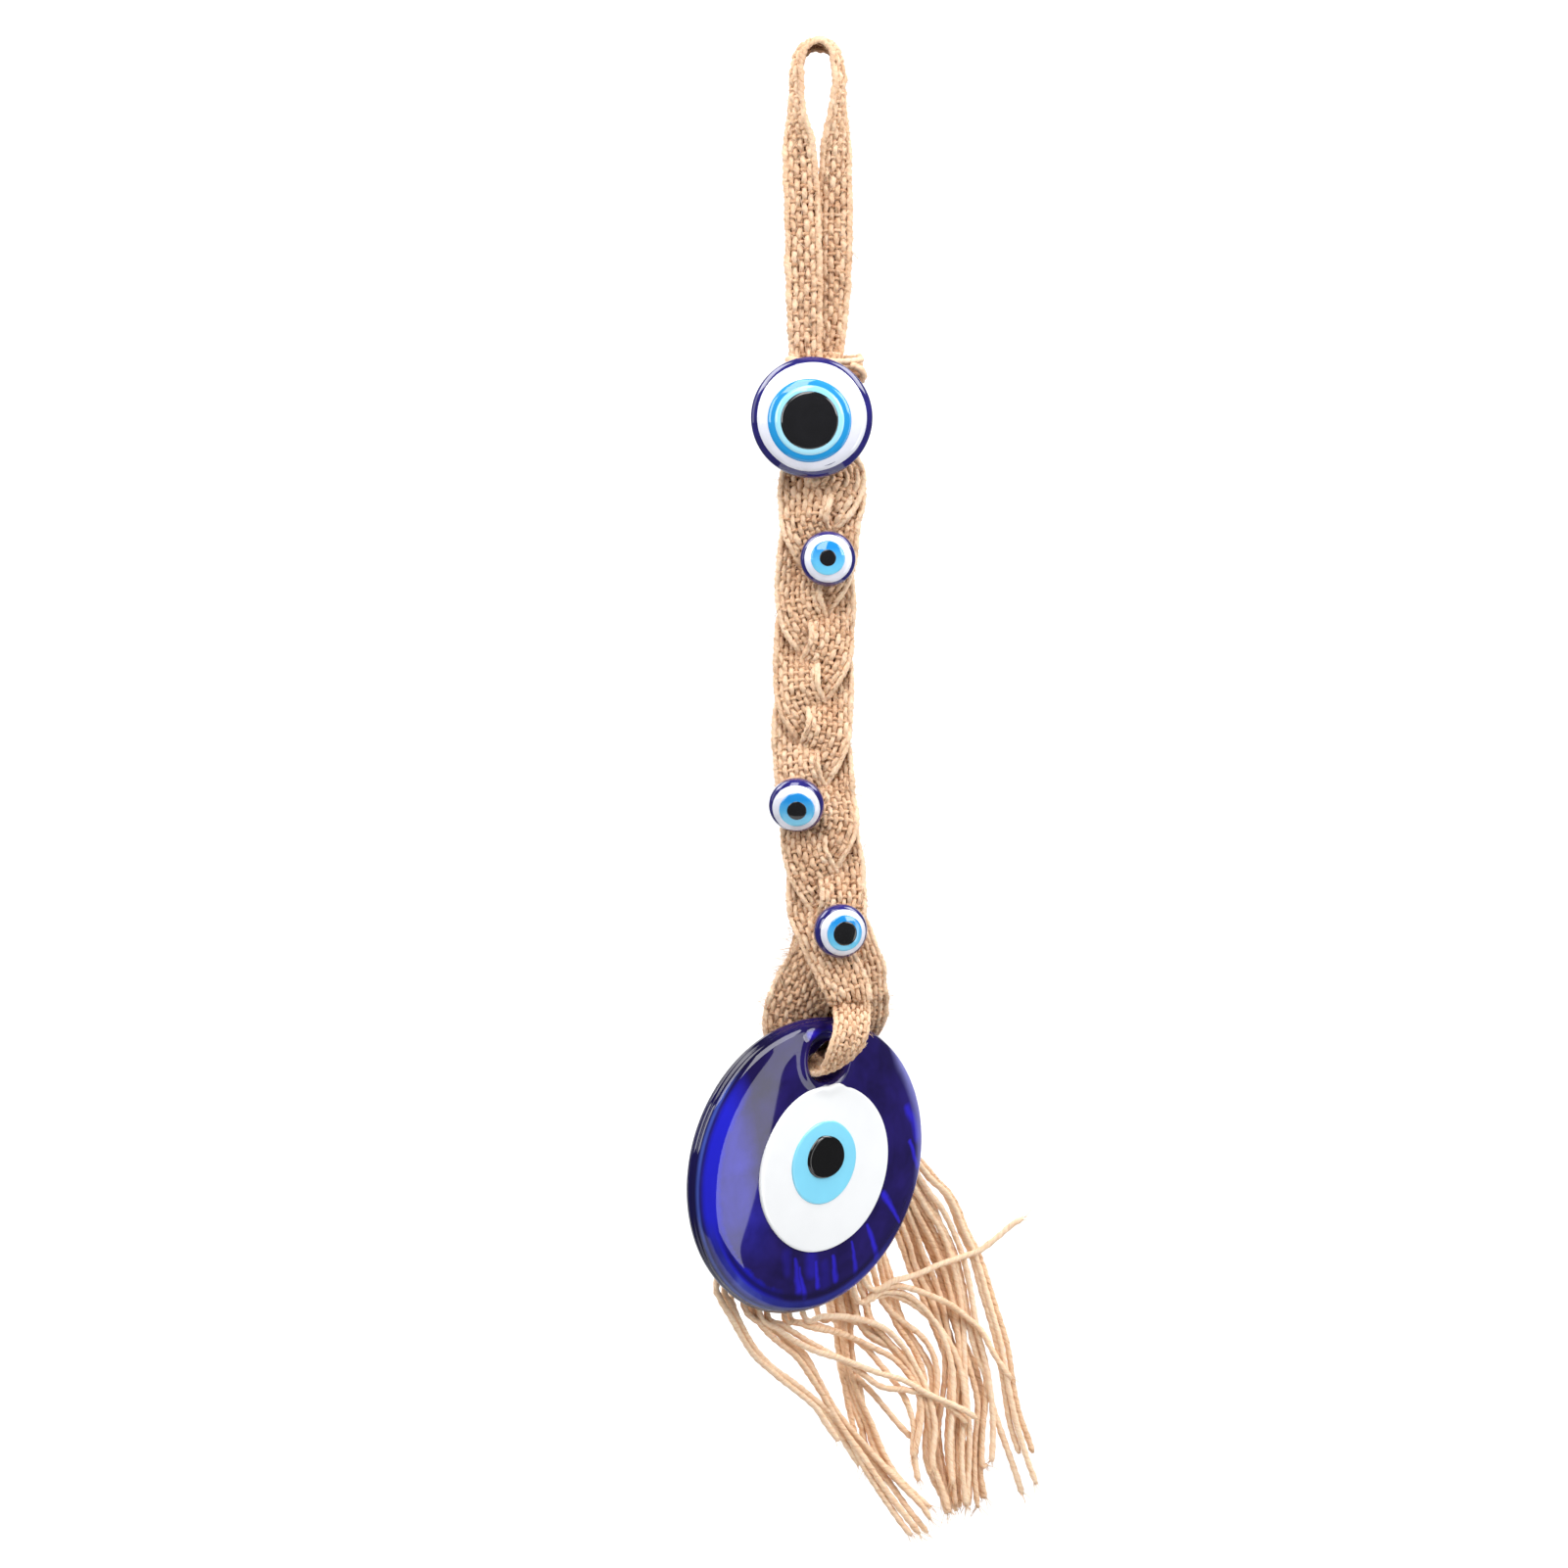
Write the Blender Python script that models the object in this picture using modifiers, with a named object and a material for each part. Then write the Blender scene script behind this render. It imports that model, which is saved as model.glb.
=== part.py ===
"""Evil eye wall ornament, about 300 mm long, that hangs by a jute loop.

A flat jute tape is folded into a hanging loop, bound with a wrap, plaited with a second tape
into a three-strand strap, and tied through the hole of a cobalt glass eye disc. Four resin eye
cabochons are glued on the front. The tape ends are unpicked into a fringe behind the disc.

Frame: origin where a hook bears inside the top of the loop, +Z up, the front faces -Y,
+X to the right of someone looking at the front. Sizes below are in millimetres.
"""

import math

import bmesh
import bpy
from mathutils import Matrix, Vector

MM = 0.001

# ---- driving dimensions, mm -------------------------------------------------------------
DISC_R = 30.0            # glass eye disc
DISC_EDGE = 2.2          # half of its thickness at the rim
DISC_DOME = 2.0          # extra height of the front at the centre
HOLE_R = 4.8             # hole that the tape passes through
HOLE_UP = 22.4           # from the disc's centre to the hole's centre
EYE_R = (17.1, 8.5, 4.6)  # white, light blue, pupil
DISC_C = Vector((-2.1, 4.0, -222.2))   # centre of the disc's mid-plane
DISC_N = Vector((0.655, -0.736, -0.173))  # the way its front faces: turned right, tipped down
DISC_UP = Vector((0.096, -0.146, 0.985))  # from its centre to its hole

TAPE_W = 6.0             # one jute tape: width and thickness
TAPE_T = 1.25
PLAIT_A = 4.85            # half swing of a strand across the strap
PLAIT_B = 1.2            # half swing of a strand front to back
PLAIT_L = 51.0           # length of one full swing
PLAIT_Z0 = -125.3        # a strand crosses the middle here, going left
ROLL = math.radians(25)  # how far the tapes lean against each other

LOOP_BOTTOM = -56.7      # the loop's legs end here, at the flex above the wrap
FLEX_Z = -57.5
STRAP_TOP = -58.3
STRAP_BOTTOM = -181.5    # the strap ends here, at the neck
TIE_TOP = -182.6
WRAP = (-60.4, -77.2)    # top and bottom of the binding wrap
BIG_R, BIG_H = 12.1, 6.2
SMALL_R, SMALL_H = 5.25, 4.3
GAP = 0.2                # between bonded layers

# ---- scene ------------------------------------------------------------------------------
for old in list(bpy.data.objects):
    bpy.data.objects.remove(old, do_unlink=True)
for old in list(bpy.data.collections):
    bpy.data.collections.remove(old)
parts = bpy.data.collections.new("evil_eye_ornament")
helpers = bpy.data.collections.new("cutters")
bpy.context.scene.collection.children.link(parts)
bpy.context.scene.collection.children.link(helpers)


def material(name, colour, roughness, metallic=0.0):
    m = bpy.data.materials.new(name)
    m.use_nodes = True
    shader = m.node_tree.nodes["Principled BSDF"]
    shader.inputs["Base Color"].default_value = (*colour, 1.0)
    shader.inputs["Roughness"].default_value = roughness
    shader.inputs["Metallic"].default_value = metallic
    return m


JUTE = material("jute", (0.62, 0.42, 0.25), 0.9)
GLUE = material("glue", (0.80, 0.76, 0.62), 0.4)
NAVY = material("navy_resin", (0.02, 0.02, 0.16), 0.12)
WHITE = material("white_resin", (0.88, 0.89, 0.93), 0.12)
AZURE = material("azure_resin", (0.03, 0.33, 0.75), 0.12)
PALE = material("pale_blue_resin", (0.35, 0.72, 0.90), 0.12)
BLACK = material("black_resin", (0.01, 0.01, 0.01), 0.1)
COBALT = material("cobalt_glass", (0.02, 0.02, 0.30), 0.05)
OPAL = material("white_glass", (0.90, 0.92, 0.94), 0.06)
SKY = material("light_blue_glass", (0.20, 0.62, 0.90), 0.06)
INK = material("black_glass", (0.01, 0.01, 0.01), 0.05)


def add(name, mesh, mat, matrix=None, collection=parts, parent=None):
    o = bpy.data.objects.new(name, mesh)
    collection.objects.link(o)
    if mat:
        mesh.materials.append(mat)
    if parent is not None:
        o.parent = parent
    if matrix is not None:
        o.matrix_basis = matrix
    return o


def empty(name, matrix):
    e = bpy.data.objects.new(name, None)
    parts.objects.link(e)
    e.matrix_basis = matrix
    return e


def frame(origin_mm, facing, up):
    """A frame whose +Z faces the given way and whose +Y is up."""
    z = Vector(facing).normalized()
    y = (Vector(up) - z * Vector(up).dot(z)).normalized()
    x = y.cross(z)
    m = Matrix((x, y, z)).transposed().to_4x4()
    m.translation = Vector(origin_mm) * MM
    return m


def turned(name, profile, mat, steps, matrix=None, parent=None):
    """A closed body of revolution about local Z, from an open profile that runs from its top on the axis, down its outer side, to its underside on the axis."""
    mesh = bpy.data.meshes.new(name)
    bm = bmesh.new()
    vs = [bm.verts.new((r * MM, 0.0, z * MM)) for r, z in profile]
    for a, b in zip(vs, vs[1:]):
        bm.edges.new((a, b))
    bm.to_mesh(mesh)
    bm.free()
    o = add(name, mesh, mat, matrix, parent=parent)
    s = o.modifiers.new("turn", "SCREW")
    s.axis = "Z"
    s.angle = 2 * math.pi
    s.steps = s.render_steps = steps
    s.screw_offset = 0.0
    s.use_merge_vertices = True
    s.merge_threshold = 1e-5
    s.use_smooth_shade = True
    return o


def tape(name, sections, mat=JUTE, parent=None):
    """A flat tape lofted through (centre, way across, width, thickness, way along), thinner towards its edges, with flat ends."""
    mesh = bpy.data.meshes.new(name)
    bm = bmesh.new()
    rings = []
    for centre, across, width, thick, along in sections:
        t = Vector(along).normalized()
        w = Vector(across)
        w = (w - t * w.dot(t)).normalized()
        n = t.cross(w)
        ring = []
        for u, v in ((-0.5, -0.2), (-0.28, -0.5), (0.28, -0.5), (0.5, -0.2), (0.5, 0.2), (0.28, 0.5), (-0.28, 0.5), (-0.5, 0.2)):
            ring.append(bm.verts.new((Vector(centre) + w * u * width + n * v * thick) * MM))
        for i in range(8):
            bm.edges.new((ring[i], ring[(i + 1) % 8]))
        rings.append(ring)
    for a, b in zip(rings, rings[1:]):
        for i in range(8):
            bm.faces.new((a[i], a[(i + 1) % 8], b[(i + 1) % 8], b[i]))
    bm.faces.new(rings[0][::-1])
    bm.faces.new(rings[-1])
    bmesh.ops.recalc_face_normals(bm, faces=bm.faces)
    bm.to_mesh(mesh)
    bm.free()
    return add(name, mesh, mat, parent=parent)


def through(points, n):
    """n + 1 rows of numbers along a smooth curve through the given rows (Catmull-Rom, evenly split between rows)."""
    out = []
    last = len(points) - 1
    for k in range(n + 1):
        s = k / n * last
        i = min(int(s), last - 1)
        f = s - i
        p0, p1, p2, p3 = (points[min(max(j, 0), last)] for j in (i - 1, i, i + 1, i + 2))
        out.append(tuple(
            0.5 * (2 * b + (c - a) * f + (2 * a - 5 * b + 4 * c - d) * f * f + (3 * b - a - 3 * c + d) * f ** 3)
            for a, b, c, d in zip(p0, p1, p2, p3)
        ))
    return out


def with_tangents(rows):
    """rows of (x, y, z, across x, across y, width, thickness) as tape sections."""
    out = []
    for k, r in enumerate(rows):
        a, b = rows[max(k - 1, 0)], rows[min(k + 1, len(rows) - 1)]
        along = (Vector(b[:3]) - Vector(a[:3])).normalized()
        out.append((Vector(r[:3]), Vector((r[3], r[4], r[7] if len(r) > 7 else 0.0)), r[5], r[6], along))
    return out


def cylinder_cutter(name, radius, length, matrix, parent=None):
    mesh = bpy.data.meshes.new(name)
    bm = bmesh.new()
    bmesh.ops.create_cone(bm, cap_ends=True, segments=32, radius1=radius * MM, radius2=radius * MM, depth=length * MM)
    bm.to_mesh(mesh)
    bm.free()
    o = add(name, mesh, None, matrix, helpers, parent)
    o.hide_render = True
    o.display_type = "WIRE"
    return o


def cut(obj, cutter):
    b = obj.modifiers.new("cut", "BOOLEAN")
    b.operation = "DIFFERENCE"
    b.object = cutter


# ---- hanging loop -----------------------------------------------------------------------
# The tape goes round the hook flat, edge towards the viewer, and each leg then turns to face the front.
# Rows: x, y, z, across x, across y, width, thickness.
loop_rows = [
    (-1.4, -0.9, LOOP_BOTTOM, 1.0, 0.10, 6.4, 1.4),
    (-1.9, -0.8, -50.0, 1.0, 0.05, 6.5, 1.5),
    (-2.9, -0.5, -40.0, 1.0, 0.0, 6.3, 1.5),
    (-3.2, -0.3, -30.0, 1.0, 0.0, 6.2, 1.5),
    (-3.4, -0.1, -22.5, 1.0, -0.12, 6.2, 1.6),
    (-3.9, 0.0, -16.5, 0.85, -0.60, 6.2, 1.7),
    (-4.4, 0.0, -11.5, 0.40, -0.95, 6.2, 1.9),
    (-4.6, 0.0, -7.0, 0.1, -1.0, 6.2, 2.1),
    (-4.0, 0.0, -3.0, 0.0, -1.0, 6.2, 2.2),
    (-2.2, 0.0, 0.0, 0.0, -1.0, 6.2, 2.3),
    (0.1, 0.0, 1.3, 0.0, -1.0, 6.2, 2.4),
    (2.4, 0.0, 0.0, 0.0, -1.0, 6.2, 2.3),
    (4.1, 0.0, -3.0, 0.0, -1.0, 6.2, 2.2),
    (4.7, 0.0, -7.0, -0.1, -1.0, 6.2, 2.1),
    (4.5, 0.1, -11.5, -0.40, -0.95, 6.2, 1.9),
    (4.1, 0.2, -16.5, -0.85, -0.60, 6.2, 1.7),
    (3.6, 0.3, -22.5, -1.0, -0.12, 6.2, 1.6),
    (3.5, 0.5, -30.0, -1.0, 0.0, 6.2, 1.5),
    (3.1, 0.8, -40.0, -1.0, 0.0, 6.2, 1.5),
    (2.1, 1.1, -50.0, -1.0, 0.0, 6.4, 1.5),
    (1.2, 1.1, LOOP_BOTTOM, -1.0, 0.0, 6.4, 1.4),
]
tape("hanging_loop", with_tangents(through(loop_rows, 60)))


# ---- plaited strap ----------------------------------------------------------------------
def middle(z):
    """The strap's own slight sway to the side."""
    knots = [(-200.0, 2.6), (-186.0, 2.6), (-176.0, 2.4), (-166.0, 1.6), (-156.0, 0.6), (-146.0, -0.7), (-136.0, -1.1),
             (-126.0, -0.8), (-107.0, -0.4), (-95.0, 0.2), (-87.0, 0.6), (-60.0, 0.4)]
    for (z0, x0), (z1, x1) in zip(knots, knots[1:]):
        if z <= z1:
            f = (z - z0) / (z1 - z0)
            f = f * f * (3 - 2 * f)
            return x0 + (x1 - x0) * f
    return knots[-1][1]


def ease(x, a, b):
    f = min(max((x - a) / (b - a), 0.0), 1.0)
    return f * f * (3 - 2 * f)


# Where each strand lies above the plait, inside the wrap, and how far it spreads at the neck.
STACKED = {"left": (0.6, 3.2), "centre": (1.2, 1.1), "right": (-1.4, -0.9)}
SPREAD = {"left": (-2.2, 0.2), "centre": (1.9, -1.0), "right": (0.4, 0.6)}
TURN = {"left": 0.0, "centre": 120.0, "right": 240.0}


def strand(which, z):
    """Centre and lean of a strand of the plait at height z."""
    phase = math.radians(180.0 + TURN[which]) + 2 * math.pi * (PLAIT_Z0 - min(z, -85.0)) / PLAIT_L
    x = middle(z) + PLAIT_A * math.sin(phase)
    y = PLAIT_B * math.sin(2 * phase)
    lean = ROLL * math.cos(3 * phase)
    above = ease(z, -85.0, -77.5)
    sx, sy = STACKED[which]
    x, y, lean = x + (sx - x) * above, y + (sy - y) * above, lean * (1 - above)
    below = ease(-z, 170.0, 181.5)
    dx, dy = SPREAD[which]
    return x + dx * below, y + dy * below, lean


def strap_strand(name, which, top):
    n = int((top - STRAP_BOTTOM) / 3.4)
    rows = []
    for k in range(n + 1):
        z = top + (STRAP_BOTTOM - top) * k / n
        x, y, lean = strand(which, z)
        rows.append((x, y, z, math.cos(lean), math.sin(lean), TAPE_W, TAPE_T))
    sections = with_tangents(rows)
    # The ends are cut level, so that they stay clear at the flexes.
    for i in (0, -1):
        c, w, width, thick, _ = sections[i]
        sections[i] = (c, w, width, thick, Vector((0, 0, -1)))
    return tape(name, sections)


strap_strand("plait_strand_left", "left", -62.5)
strap_strand("plait_strand_centre", "centre", STRAP_TOP)
strap_strand("plait_strand_right", "right", STRAP_TOP)


# ---- binding wrap: a flat tape wound once round the strands, under the large cabochon ------
def oval_ring(name, centre, half_x, half_y, wall, top, bottom, segments=28):
    """A wound band with a squarish oval outline, rounded at its upper and lower edges."""
    mesh = bpy.data.meshes.new(name)
    bm = bmesh.new()
    mid_wall = 0.45 * wall
    height = top - bottom
    section = [(wall, -0.06), (wall, -0.5), (wall, -0.94), (mid_wall, -1.0), (0.0, -0.94), (0.0, -0.06), (mid_wall, 0.0)]
    rings = []
    for k in range(segments):
        a = 2 * math.pi * k / segments
        ring = []
        for out, down in section:
            c, q = math.cos(a), math.sin(a)
            ring.append(bm.verts.new((
                (centre[0] + (half_x + out) * math.copysign(math.sqrt(abs(c)), c)) * MM,
                (centre[1] + (half_y + out) * math.copysign(math.sqrt(abs(q)), q)) * MM,
                (top + height * down) * MM,
            )))
        rings.append(ring)
    count = len(section)
    for k in range(segments):
        a, b = rings[k], rings[(k + 1) % segments]
        for i in range(count):
            j = (i + 1) % count
            bm.faces.new((a[i], a[j], b[j], b[i]))
    bmesh.ops.recalc_face_normals(bm, faces=bm.faces)
    bm.to_mesh(mesh)
    bm.free()
    return add(name, mesh, JUTE)


oval_ring("binding_wrap", (1.2, 1.2), 6.5, 3.6, 1.2, *WRAP)


# ---- eye cabochons ------------------------------------------------------------------------
def dome(r, radius, height):
    """Height of a cabochon's surface above its flat back at distance r from its axis: a low wall, then a dome."""
    wall = 0.30 * height
    return wall + (height - wall) * math.sqrt(max(0.0, 1 - (r / radius) ** 2))


def cabochon(stem, matrix, radius, height, rings, steps):
    """A cast cabochon: a navy base with a coloured layer let into it for each ring. rings: (name, outer radius share, material), outermost first."""
    holder = empty(stem + "_axis", matrix)
    floor = 0.42 * height
    layers = [(stem + "_base", 1.0, NAVY), *[(stem + "_" + n, s, m) for n, s, m in rings]]
    for k, (name, share, mat) in enumerate(layers):
        outer = radius * share - (GAP if k else 0.0)
        low = 0.0 if k == 0 else floor + GAP
        # A layer's own recess is as deep as the one before it, less a step, so each sits on the layer behind it.
        inner = radius * layers[k + 1][1] if k + 1 < len(layers) else None
        deeper = 0.50 * height * (1 - 0.16 * k)
        floor_next = dome(inner, radius, height) - 0.30 * height * (1 - 0.1 * k) if inner else None
        profile = []
        if inner:
            profile += [(0.0, floor_next), (inner, floor_next), (inner, dome(inner, radius, height))]
            for f in (0.5, 1.0):
                r = inner + (outer - inner) * f
                if f < 1.0 or k:
                    profile.append((r, dome(r, radius, height)))
        else:
            profile.append((0.0, height))
            for f in (0.5, 1.0):
                profile.append((outer * f, dome(outer * f, radius, height)))
        if k == 0:
            for a in (18, 40, 65):
                c, s = math.cos(math.radians(90 - a)), math.sin(math.radians(90 - a))
                r = inner + (radius - inner) * c
                if r > profile[-1][0] + 0.02:
                    profile.append((r, dome(r, radius, height)))
            profile += [(radius, 0.30 * height), (radius, 0.25), (radius - 0.25, 0.0), (0.0, 0.0)]
        else:
            profile += [(outer, low_of(k, layers, radius, height)), (0.0, low_of(k, layers, radius, height))]
        turned(name, profile, mat, steps, parent=holder)
    return holder


def low_of(k, layers, radius, height):
    """Underside of layer k: just above the floor of the recess that layer k - 1 has for it."""
    inner = radius * layers[k][1]
    return dome(inner, radius, height) - 0.30 * height * (1 - 0.1 * (k - 1)) + GAP


FRONT = Vector((0, -1, 0))
UP = Vector((0, 0, 1))
BIG = Vector((-1.3, -4.35, -73.4))
cabochon("large_eye", frame(BIG, FRONT, UP), BIG_R, BIG_H,
         [("white", 0.90, WHITE), ("azure", 0.69, AZURE), ("pale", 0.575, PALE), ("pupil", 0.48, BLACK)], 24)
small = [("white", 0.84, WHITE), ("azure", 0.60, AZURE), ("pupil", 0.34, BLACK)]
EYE_1 = (Vector((1.9, -3.6, -101.5)), Vector((0.02, -1, 0.0)))
EYE_2 = (Vector((-4.5, -3.7, -149.6)), Vector((-0.03, -1, -0.36)))
EYE_3 = (Vector((3.6, -4.3, -175.0)), Vector((0.26, -1, -0.16)))
for n, (place, facing) in enumerate((EYE_1, EYE_2, EYE_3), 1):
    cabochon(f"small_eye_{n}", frame(place, facing, UP), SMALL_R, SMALL_H, small, 16)


def glue_behind(name, place, facing, radius, thick):
    """Glue on the flat back of a cabochon, clear of it and of the strap."""
    f = Vector(facing).normalized()
    profile = [(0.0, -0.3), (radius * 0.85, -0.3), (radius, -0.3 - 0.45 * thick), (radius * 0.75, -0.3 - thick), (0.0, -0.3 - thick)]
    return turned(name, profile, GLUE, 14, frame(place, f, UP))


glue_behind("large_eye_glue", BIG + Vector((1.0, 0.0, 1.5)), FRONT, 5.0, 0.35)
for n, (place, facing) in enumerate((EYE_1, EYE_2, EYE_3), 1):
    glue_behind(f"small_eye_{n}_glue", place, facing, 2.2, 0.5)

# ---- glass eye disc -------------------------------------------------------------------------
disc_frame = frame(DISC_C, DISC_N, DISC_UP)      # local +Z is the front, +Y is towards the hole
disc_axis = empty("glass_disc_frame", disc_frame)


def face(r):
    """Height of the disc's front above its mid-plane at radius r."""
    return DISC_EDGE + DISC_DOME * (1 - (r / DISC_R) ** 2)


LAYER = 1.5
profile = [(0.0, face(EYE_R[0]) - LAYER), (EYE_R[0], face(EYE_R[0]) - LAYER), (EYE_R[0], face(EYE_R[0])), (21.5, face(21.5)),
           (25.5, face(25.5)), (28.2, face(28.2) - 0.25), (29.5, 1.35), (30.0, 0.1), (29.6, -1.4), (28.6, -2.2), (0.0, -2.2)]
disc = turned("glass_disc", profile, COBALT, 44, parent=disc_axis)
cut(disc, cylinder_cutter("disc_hole_cutter", HOLE_R, 14.0, Matrix.Translation((0, HOLE_UP * MM, 0)), disc_axis))

w, b, p = EYE_R
white_low = face(w) - LAYER + GAP
turned("glass_eye_white", [(0.0, face(b) - 0.9), (b, face(b) - 0.9), (b, face(b)), (0.5 * (b + w), face(0.5 * (b + w))),
                           (w - GAP, face(w)), (w - GAP, white_low), (0.0, white_low)], OPAL, 32, parent=disc_axis)
turned("glass_eye_blue", [(0.0, face(p) - 0.45), (p, face(p) - 0.45), (p, face(p)), (0.5 * (p + b), face(0.5 * (p + b))),
                          (b - GAP, face(b)), (b - GAP, face(b) - 0.9 + GAP), (0.0, face(b) - 0.9 + GAP)], SKY, 26, parent=disc_axis)
turned("glass_eye_pupil", [(0.0, face(0) + 0.25), (0.6 * p, face(0.6 * p) + 0.15), (p - GAP, face(p)),
                           (p - GAP, face(p) - 0.45 + GAP), (0.0, face(p) - 0.45 + GAP)], INK, 20, parent=disc_axis)

# ---- tapes below the neck -------------------------------------------------------------------
RIGHT = (-DISC_N).cross(DISC_UP).normalized()   # to the right in the disc's plane
HOLE = DISC_C + DISC_UP * HOLE_UP
KNOT = HOLE - DISC_N * 7.4


def by_disc(right, up, front, origin=None):
    """A point by its place in the disc's own directions from the knot."""
    return (KNOT if origin is None else origin) + RIGHT * right + DISC_UP * up + DISC_N * front


def neck(which):
    x, y, _ = strand(which, STRAP_BOTTOM)
    return x, y


lx, ly = neck("left")
end = by_disc(-2.9, 6.4, -0.6)
end2 = by_disc(-3.6, 8.4, -0.9)
left_rows = [
    (lx, ly, TIE_TOP, 1.0, 0.05, 7.4, 1.6, 0.0),
    (-4.2, 1.6, -187.0, 1.0, 0.30, 10.3, 1.6, 0.0),
    (-5.6, 2.6, -190.5, 0.9, 0.45, 11.2, 1.5, 0.0),
    (*end2, *(RIGHT[:2]), 8.0, 1.6, RIGHT[2]),
    (*end, *(RIGHT[:2]), 5.2, 1.8, RIGHT[2]),
]
cx, cy = neck("centre")
tie_rows = [
    (cx, cy, TIE_TOP, 1.0, 0.05, 6.8, 1.5, 0.0),
    (5.2, -3.4, -187.2, 0.96, 0.2, 7.2, 1.5, 0.0),
    (6.5, -3.9, -191.5, 0.90, 0.40, 7.4, 1.5, 0.0),
    (6.1, -3.9, -195.6, 0.84, 0.50, 7.2, 1.5, 0.0),
    (5.0, -3.6, -199.2, 0.80, 0.56, 7.0, 1.5, 0.0),
    (*(HOLE + DISC_N * 4.6 - DISC_UP * 1.3), *(RIGHT[:2]), 6.8, 1.5, RIGHT[2]),
    (*(HOLE + DISC_N * 1.5 - DISC_UP * 0.9), *(RIGHT[:2]), 6.6, 1.5, RIGHT[2]),
    (*(HOLE - DISC_N * 1.2 - DISC_UP * 0.5), *(RIGHT[:2]), 6.4, 1.5, RIGHT[2]),
    (*(HOLE - DISC_N * 3.3 - DISC_UP * 0.2), *(RIGHT[:2]), 5.2, 1.5, RIGHT[2]),
]
rx, ry = neck("right")
end = by_disc(3.2, 6.2, -1.2)
end2 = by_disc(7.4, 7.6, -2.2)
end3 = by_disc(12.6, 7.9, -2.3)
right_rows = [
    (rx, ry, TIE_TOP, 1.0, 0.1, 7.0, 1.6, 0.0),
    (9.1, 3.6, -186.4, 0.85, 0.55, 7.6, 1.6, 0.0),
    (9.6, 9.6, -189.8, 0.75, 0.66, 7.6, 1.6, 0.0),
    (*end3, *(DISC_UP[:2]), 6.6, 1.6, DISC_UP[2]),
    (*end2, *(DISC_UP[:2]), 5.4, 1.6, DISC_UP[2]),
    (*end, *((DISC_UP - RIGHT)[:2]), 4.4, 1.6, (DISC_UP - RIGHT)[2]),
]


def level_top(sections):
    c, w, width, thick, _ = sections[0]
    sections[0] = (c, w, width, thick, Vector((0, 0, -1)))
    return sections


tape("neck_tape_left", level_top(with_tangents(through(left_rows, 9))))
tape("tie_tape", level_top(with_tangents(through(tie_rows, 18))))
tape("neck_tape_right", level_top(with_tangents(through(right_rows, 12))))

# ---- knot behind the disc --------------------------------------------------------------------
knot_frame = frame(KNOT, DISC_N, DISC_UP)
mesh = bpy.data.meshes.new("rear_knot")
bm = bmesh.new()
bmesh.ops.create_uvsphere(bm, u_segments=16, v_segments=9, radius=1.0)
for v in bm.verts:
    v.co = Vector((v.co.x * 5.8, v.co.y * 4.3, v.co.z * 3.2)) * MM
bm.to_mesh(mesh)
bm.free()
add("rear_knot", mesh, JUTE, knot_frame)

# ---- fringe: the unpicked tape ends, as ten locks of yarn ------------------------------------
LOCK_SIDES = 1
LEFT_EDGE = [(-8.6, -205.2), (-15.5, -222.0), (-18.6, -243.0), (-11.5, -260.0), (4.0, -277.0), (19.5, -294.6)]
RIGHT_EDGE = [(0.4, -204.4), (12.5, -212.0), (22.0, -226.0), (29.0, -246.0), (33.5, -267.0), (40.5, -287.0)]


def behind_disc(x, z, back):
    """y of the point at x, z that lies this far behind the disc's mid-plane."""
    return DISC_C.y - (-back - DISC_N.x * (x - DISC_C.x) - DISC_N.z * (z - DISC_C.z)) / -DISC_N.y


LOCKS = 10
for k in range(LOCKS):
    f = k / (LOCKS - 1)
    layer = k % 2
    rows = []
    for m, ((xa, za), (xb, zb)) in enumerate(zip(LEFT_EDGE, RIGHT_EDGE)):
        x, z = xa + (xb - xa) * f, za + (zb - za) * f
        if m == len(LEFT_EDGE) - 1:
            z += -3.0 * math.sin(math.pi * f)
        radius = (0.75, 1.1, 1.5, 1.75, 1.75, 1.3)[m]
        back = 4.6 + 3.7 * layer
        y = behind_disc(x, z, back)
        reach = (Vector((x, y, z)) - KNOT).length
        free = ease(reach, 50.0, 95.0)
        y += (12.0 + 9.0 * f + 4.4 * layer + 0.14 * reach - y) * 0.85 * free
        rows.append((x, y, z, radius))
    name = f"fringe_lock_{k + 1:02d}"
    curve = bpy.data.curves.new(name, "CURVE")
    curve.dimensions = "3D"
    curve.bevel_depth = 1.0 * MM
    curve.bevel_resolution = LOCK_SIDES
    curve.use_fill_caps = True
    pts = through(rows, 13)
    spline = curve.splines.new("POLY")
    spline.points.add(len(pts) - 1)
    for q, (x, y, z, r) in zip(spline.points, pts):
        q.co = (x * MM, y * MM, z * MM, 1.0)
        q.radius = r
    o = bpy.data.objects.new(name, curve)
    parts.objects.link(o)
    curve.materials.append(JUTE)

bpy.context.view_layer.update()
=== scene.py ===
import math
import random

import bpy
import numpy as np
from mathutils import Matrix, Vector, noise


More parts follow.
